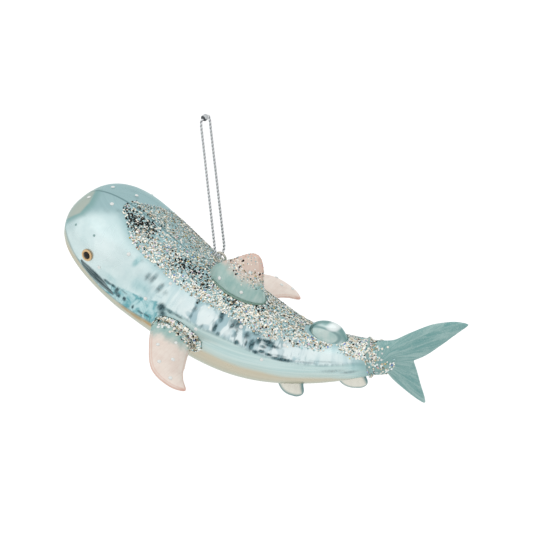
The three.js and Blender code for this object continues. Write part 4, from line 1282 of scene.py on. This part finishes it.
def eye_pieces(side, degrees, amber, black):
    share, angle = np.array([EYE_SHARE]), np.array([float(degrees)])
    centre, normal = skin(share, angle)[0], skin_normal(share, angle)
    turn = facing(normal, np.zeros(1), np.zeros(1), np.zeros(1))[0]
    iris = primitive(f"{side}_iris_ring", bpy.ops.mesh.primitive_torus_add, major_radius=IRIS_RADIUS,
                     minor_radius=IRIS_HALF_THICKNESS, major_segments=56, minor_segments=20)
    edit(iris, lambda: bpy.ops.transform.resize(value=(1, 1, 1.15)))
    pupil = primitive(f"{side}_pupil_dome", bpy.ops.mesh.primitive_uv_sphere_add, segments=40,
                      ring_count=24, radius=PUPIL_RADIUS)
    edit(pupil, lambda: bpy.ops.transform.resize(value=(1, 1, 0.8)))
    for obj, lift in ((iris, 0.3), (pupil, 0.2)):
        co = corners(obj)
        note(obj, "radius", np.hypot(co[:, 0], co[:, 1]))
        move_corners(obj, (co + [0, 0, lift]) @ turn.T + centre)
        outward(obj)
    finish_piece(iris, "shark", amber, "amber_enamel", f"iris_{side}")
    finish_piece(pupil, "shark", black, "black_enamel", f"pupil_{side}")


amber, black = iris_material(), pupil_material()
eye_pieces("left", EYE_LIFT, amber, black)
eye_pieces("right", 180 - EYE_LIFT, amber, black)


# Wire eye, plug, cord and knot

def silver_material(name, light, dark, rough, shaded_grooves):
    """Silver with a fine cloud, and on the cord painted shade in the grooves between its yarns."""
    material, tree, shader = new_material(name)
    cloud = noise(tree, here(tree), 1800.0, 3.0, 0.6)
    colour = blend(tree, times(tree, cloud, 0.5), light, dark)
    if shaded_grooves:
        # Painted shade in the grooves between the yarns
        groove_shade = less(tree, band(tree, attribute(tree, "from_core"), 0.33, 0.45))
        colour = blend(tree, groove_shade, colour, srgb(86, 91, 94))
    fill(tree, shader, {
        "Base Color": colour,
        "Metallic": 0.5,
        "Roughness": sums(tree, "MULTIPLY_ADD", cloud, 0.15, rough),
    })
    return material


def tube_piece(name, points, radius, ring):
    """A closed tube along points, with more corners to its section as ring goes up."""
    curve = bpy.data.curves.new(name, "CURVE")
    curve.dimensions = "3D"
    curve.bevel_depth = radius * MM
    curve.bevel_resolution = ring
    curve.use_fill_caps = True
    thread = curve.splines.new("POLY")
    thread.points.add(len(points) - 1)
    thread.points.foreach_set("co", np.column_stack([points * MM, np.ones(len(points))]).ravel())
    obj = bpy.data.objects.new(name, curve)
    bpy.context.scene.collection.objects.link(obj)
    select_only(obj)
    bpy.ops.object.convert(target="MESH")
    obj = bpy.context.active_object
    edit(obj, lambda: bpy.ops.mesh.remove_doubles(threshold=1e-7))
    outward(obj)
    return obj


def wire_points():
    """The middle of the wire: up one leg, round the ring and down the other leg."""
    leg = [(3.5, -12.2), (LEG_OFFSET, -7.9), (LEG_OFFSET, -5.9), (LEG_OFFSET, -4.2)]
    gap = math.asin(LEG_OFFSET / RING_RADIUS)
    turns = [-math.pi / 2 - gap - (2 * math.pi - 2 * gap) * i / 12 for i in range(13)]
    arc = [(RING_RADIUS * math.cos(turn), RING_RADIUS * math.sin(turn)) for turn in turns]
    outline = np.array([(-x, z) for x, z in leg] + arc + leg[::-1])
    knots = np.column_stack([outline[:, 0], np.zeros(len(outline)), outline[:, 1] + RING_HEIGHT])
    return spline(knots, np.linspace(0, 1, 240))


wire_silver = silver_material(
    "silver wire", light=srgb(218, 214, 202), dark=srgb(88, 86, 79), rough=0.16, shaded_grooves=False)
wire = tube_piece("wire_eye", wire_points(), WIRE_RADIUS, 5)
finish_piece(wire, "shark", wire_silver, "silver_wire", "hanger_wire")


def resin_material():
    material, tree, shader = new_material("plug resin")
    cloud = noise(tree, here(tree), 700.0, 3.0, 0.6)
    colour = blend(tree, cloud, srgb(150, 178, 174), srgb(196, 208, 200))
    fill(tree, shader, {"Base Color": colour, "Roughness": 0.35})
    return material


plug = softened("resin_plug", "neck_plug", voxel=0.14, rounds=4)
finish_piece(plug, "shark", resin_material(), "plug_resin", "neck_plug")

# The cord runs down the left strand, through the wire eye and up the right strand
route = np.array(STRAND + [(0, -56.1)] + [(-y, z) for y, z in reversed(STRAND)])
knots = np.column_stack([np.zeros(len(route)), route])
path = spline(knots, np.linspace(0, 1, 4000))
run = np.concatenate([[0], np.cumsum(np.linalg.norm(np.diff(path, axis=0), axis=1))])
even = np.linspace(0, run[-1], 760)
path = np.column_stack([np.interp(even, run, path[:, i]) for i in range(3)])
tangent = np.gradient(path, axis=0)
tangent = tangent / np.linalg.norm(tangent, axis=1, keepdims=True)
across = np.tile([1.0, 0.0, 0.0], (len(path), 1))
beside = np.cross(tangent, across)
cord_silver = silver_material(
    "silver cord", light=srgb(232, 235, 237), dark=srgb(196, 200, 203), rough=0.3, shaded_grooves=True)
yarns = []
for start in (0.0, math.pi):
    turn = 2 * math.pi * even / CORD_LAY + start
    yarn = path + YARN_OFFSET * (np.cos(turn)[:, None] * across + np.sin(turn)[:, None] * beside)
    yarns.append(tube_piece("twisted_cord", yarn, YARN_RADIUS, 2))
cord = joined(yarns)
around = corners(cord) / MM
near = np.array([((path - point) ** 2).sum(1).min() for point in around])
note(cord, "from_core", np.sqrt(near))
finish_piece(cord, "cord_loop", cord_silver, "silver_cord", "hanging_cord")

# The knot is two and a half wraps of the cord
turn = np.linspace(0, 5 * math.pi, 160)
wraps = np.column_stack([
    WRAP_RADIUS * np.cos(turn),
    np.linspace(-KNOT_HALF_LENGTH, KNOT_HALF_LENGTH, len(turn)),
    KNOT_HEIGHT + WRAP_RADIUS * np.sin(turn),
])
knot = tube_piece("barrel_knot", wraps, WRAP_CORD_RADIUS, 4)
from_axis = (corners(knot) / MM - [0.0, 0.0, KNOT_HEIGHT])[:, [0, 2]]
note(knot, "from_core", np.linalg.norm(from_axis, axis=1) - WRAP_RADIUS)
finish_piece(knot, "cord_loop", cord_silver, "silver_cord", "cord_knot")


# Floor, lights and camera

FLOOR_HEIGHT = -0.32


def seen_by_eye(tree):
    """1 for what the camera sees, directly or by way of silver and glass."""
    path_node = add(tree, "ShaderNodeLightPath")
    seen = sums(tree, "MAXIMUM", path_node.outputs["Is Camera Ray"], path_node.outputs["Is Glossy Ray"])
    return sums(tree, "MAXIMUM", seen, path_node.outputs["Is Transmission Ray"])


def floor_material():
    material, tree, shader = new_material("white floor")
    fill(tree, shader, {
        "Base Color": (0.86, 0.86, 0.86),
        "Roughness": 0.9,
        "Emission Color": (1.0, 1.0, 1.0),
        "Emission Strength": times(tree, seen_by_eye(tree), 0.4),
    })
    return material


floor = primitive("studio_floor", bpy.ops.mesh.primitive_plane_add, size=8, location=(0, 0, FLOOR_HEIGHT))
floor.data.materials.append(floor_material())

world = bpy.data.worlds.new("studio")
bpy.context.scene.world = world
world.use_nodes = True
tree = world.node_tree
tree.nodes.clear()
strength = sums(tree, "MULTIPLY_ADD", seen_by_eye(tree), 0.25, 0.75)
background = add(tree, "ShaderNodeBackground", {"Color": (1.0, 1.0, 1.0), "Strength": strength})
add(tree, "ShaderNodeOutputWorld", {"Surface": background.outputs[0]})

# TOWARDS points from the middle of the spine to the camera, and the lamps stand round that middle
AIM = Vector((PLACE * MM).tolist())
TOWARDS = Vector((0.5346, -0.6935, 0.4830)).normalized()
RIGHT = Vector((0.821, 0.562, -0.1006))
RIGHT = (RIGHT - TOWARDS * RIGHT.dot(TOWARDS)).normalized()
UPWARD = TOWARDS.cross(RIGHT)


def area_light(name, where, size, radiance):
    """A round soft lamp that faces the ornament, in metres."""
    bpy.ops.object.light_add(type="AREA", location=AIM + where)
    lamp = bpy.context.active_object
    lamp.name = name
    lamp.data.shape = "DISK"
    lamp.data.size = size
    lamp.data.energy = radiance * size * size * math.pi**2 / 4
    lamp.rotation_euler = (-where).to_track_quat("-Z", "Y").to_euler()


beside_camera = TOWARDS * 0.5 - RIGHT * 0.75 + UPWARD * 0.35
area_light("key softbox", beside_camera, size=1.3, radiance=0.16)
area_light("top softbox", Vector((0.1, -0.1, 0.9)), size=1.1, radiance=0.28)

bpy.ops.object.camera_add(location=AIM + TOWARDS * 1.0)
camera = bpy.context.active_object
camera.rotation_euler = Matrix((RIGHT, UPWARD, TOWARDS)).transposed().to_euler()
camera.data.sensor_width = 36
camera.data.lens = 177.75
camera.data.shift_x = 0.0936
camera.data.shift_y = 0.0925
camera.data.dof.use_dof = False
bpy.context.scene.camera = camera
bpy.context.scene.view_settings.view_transform = "Standard"
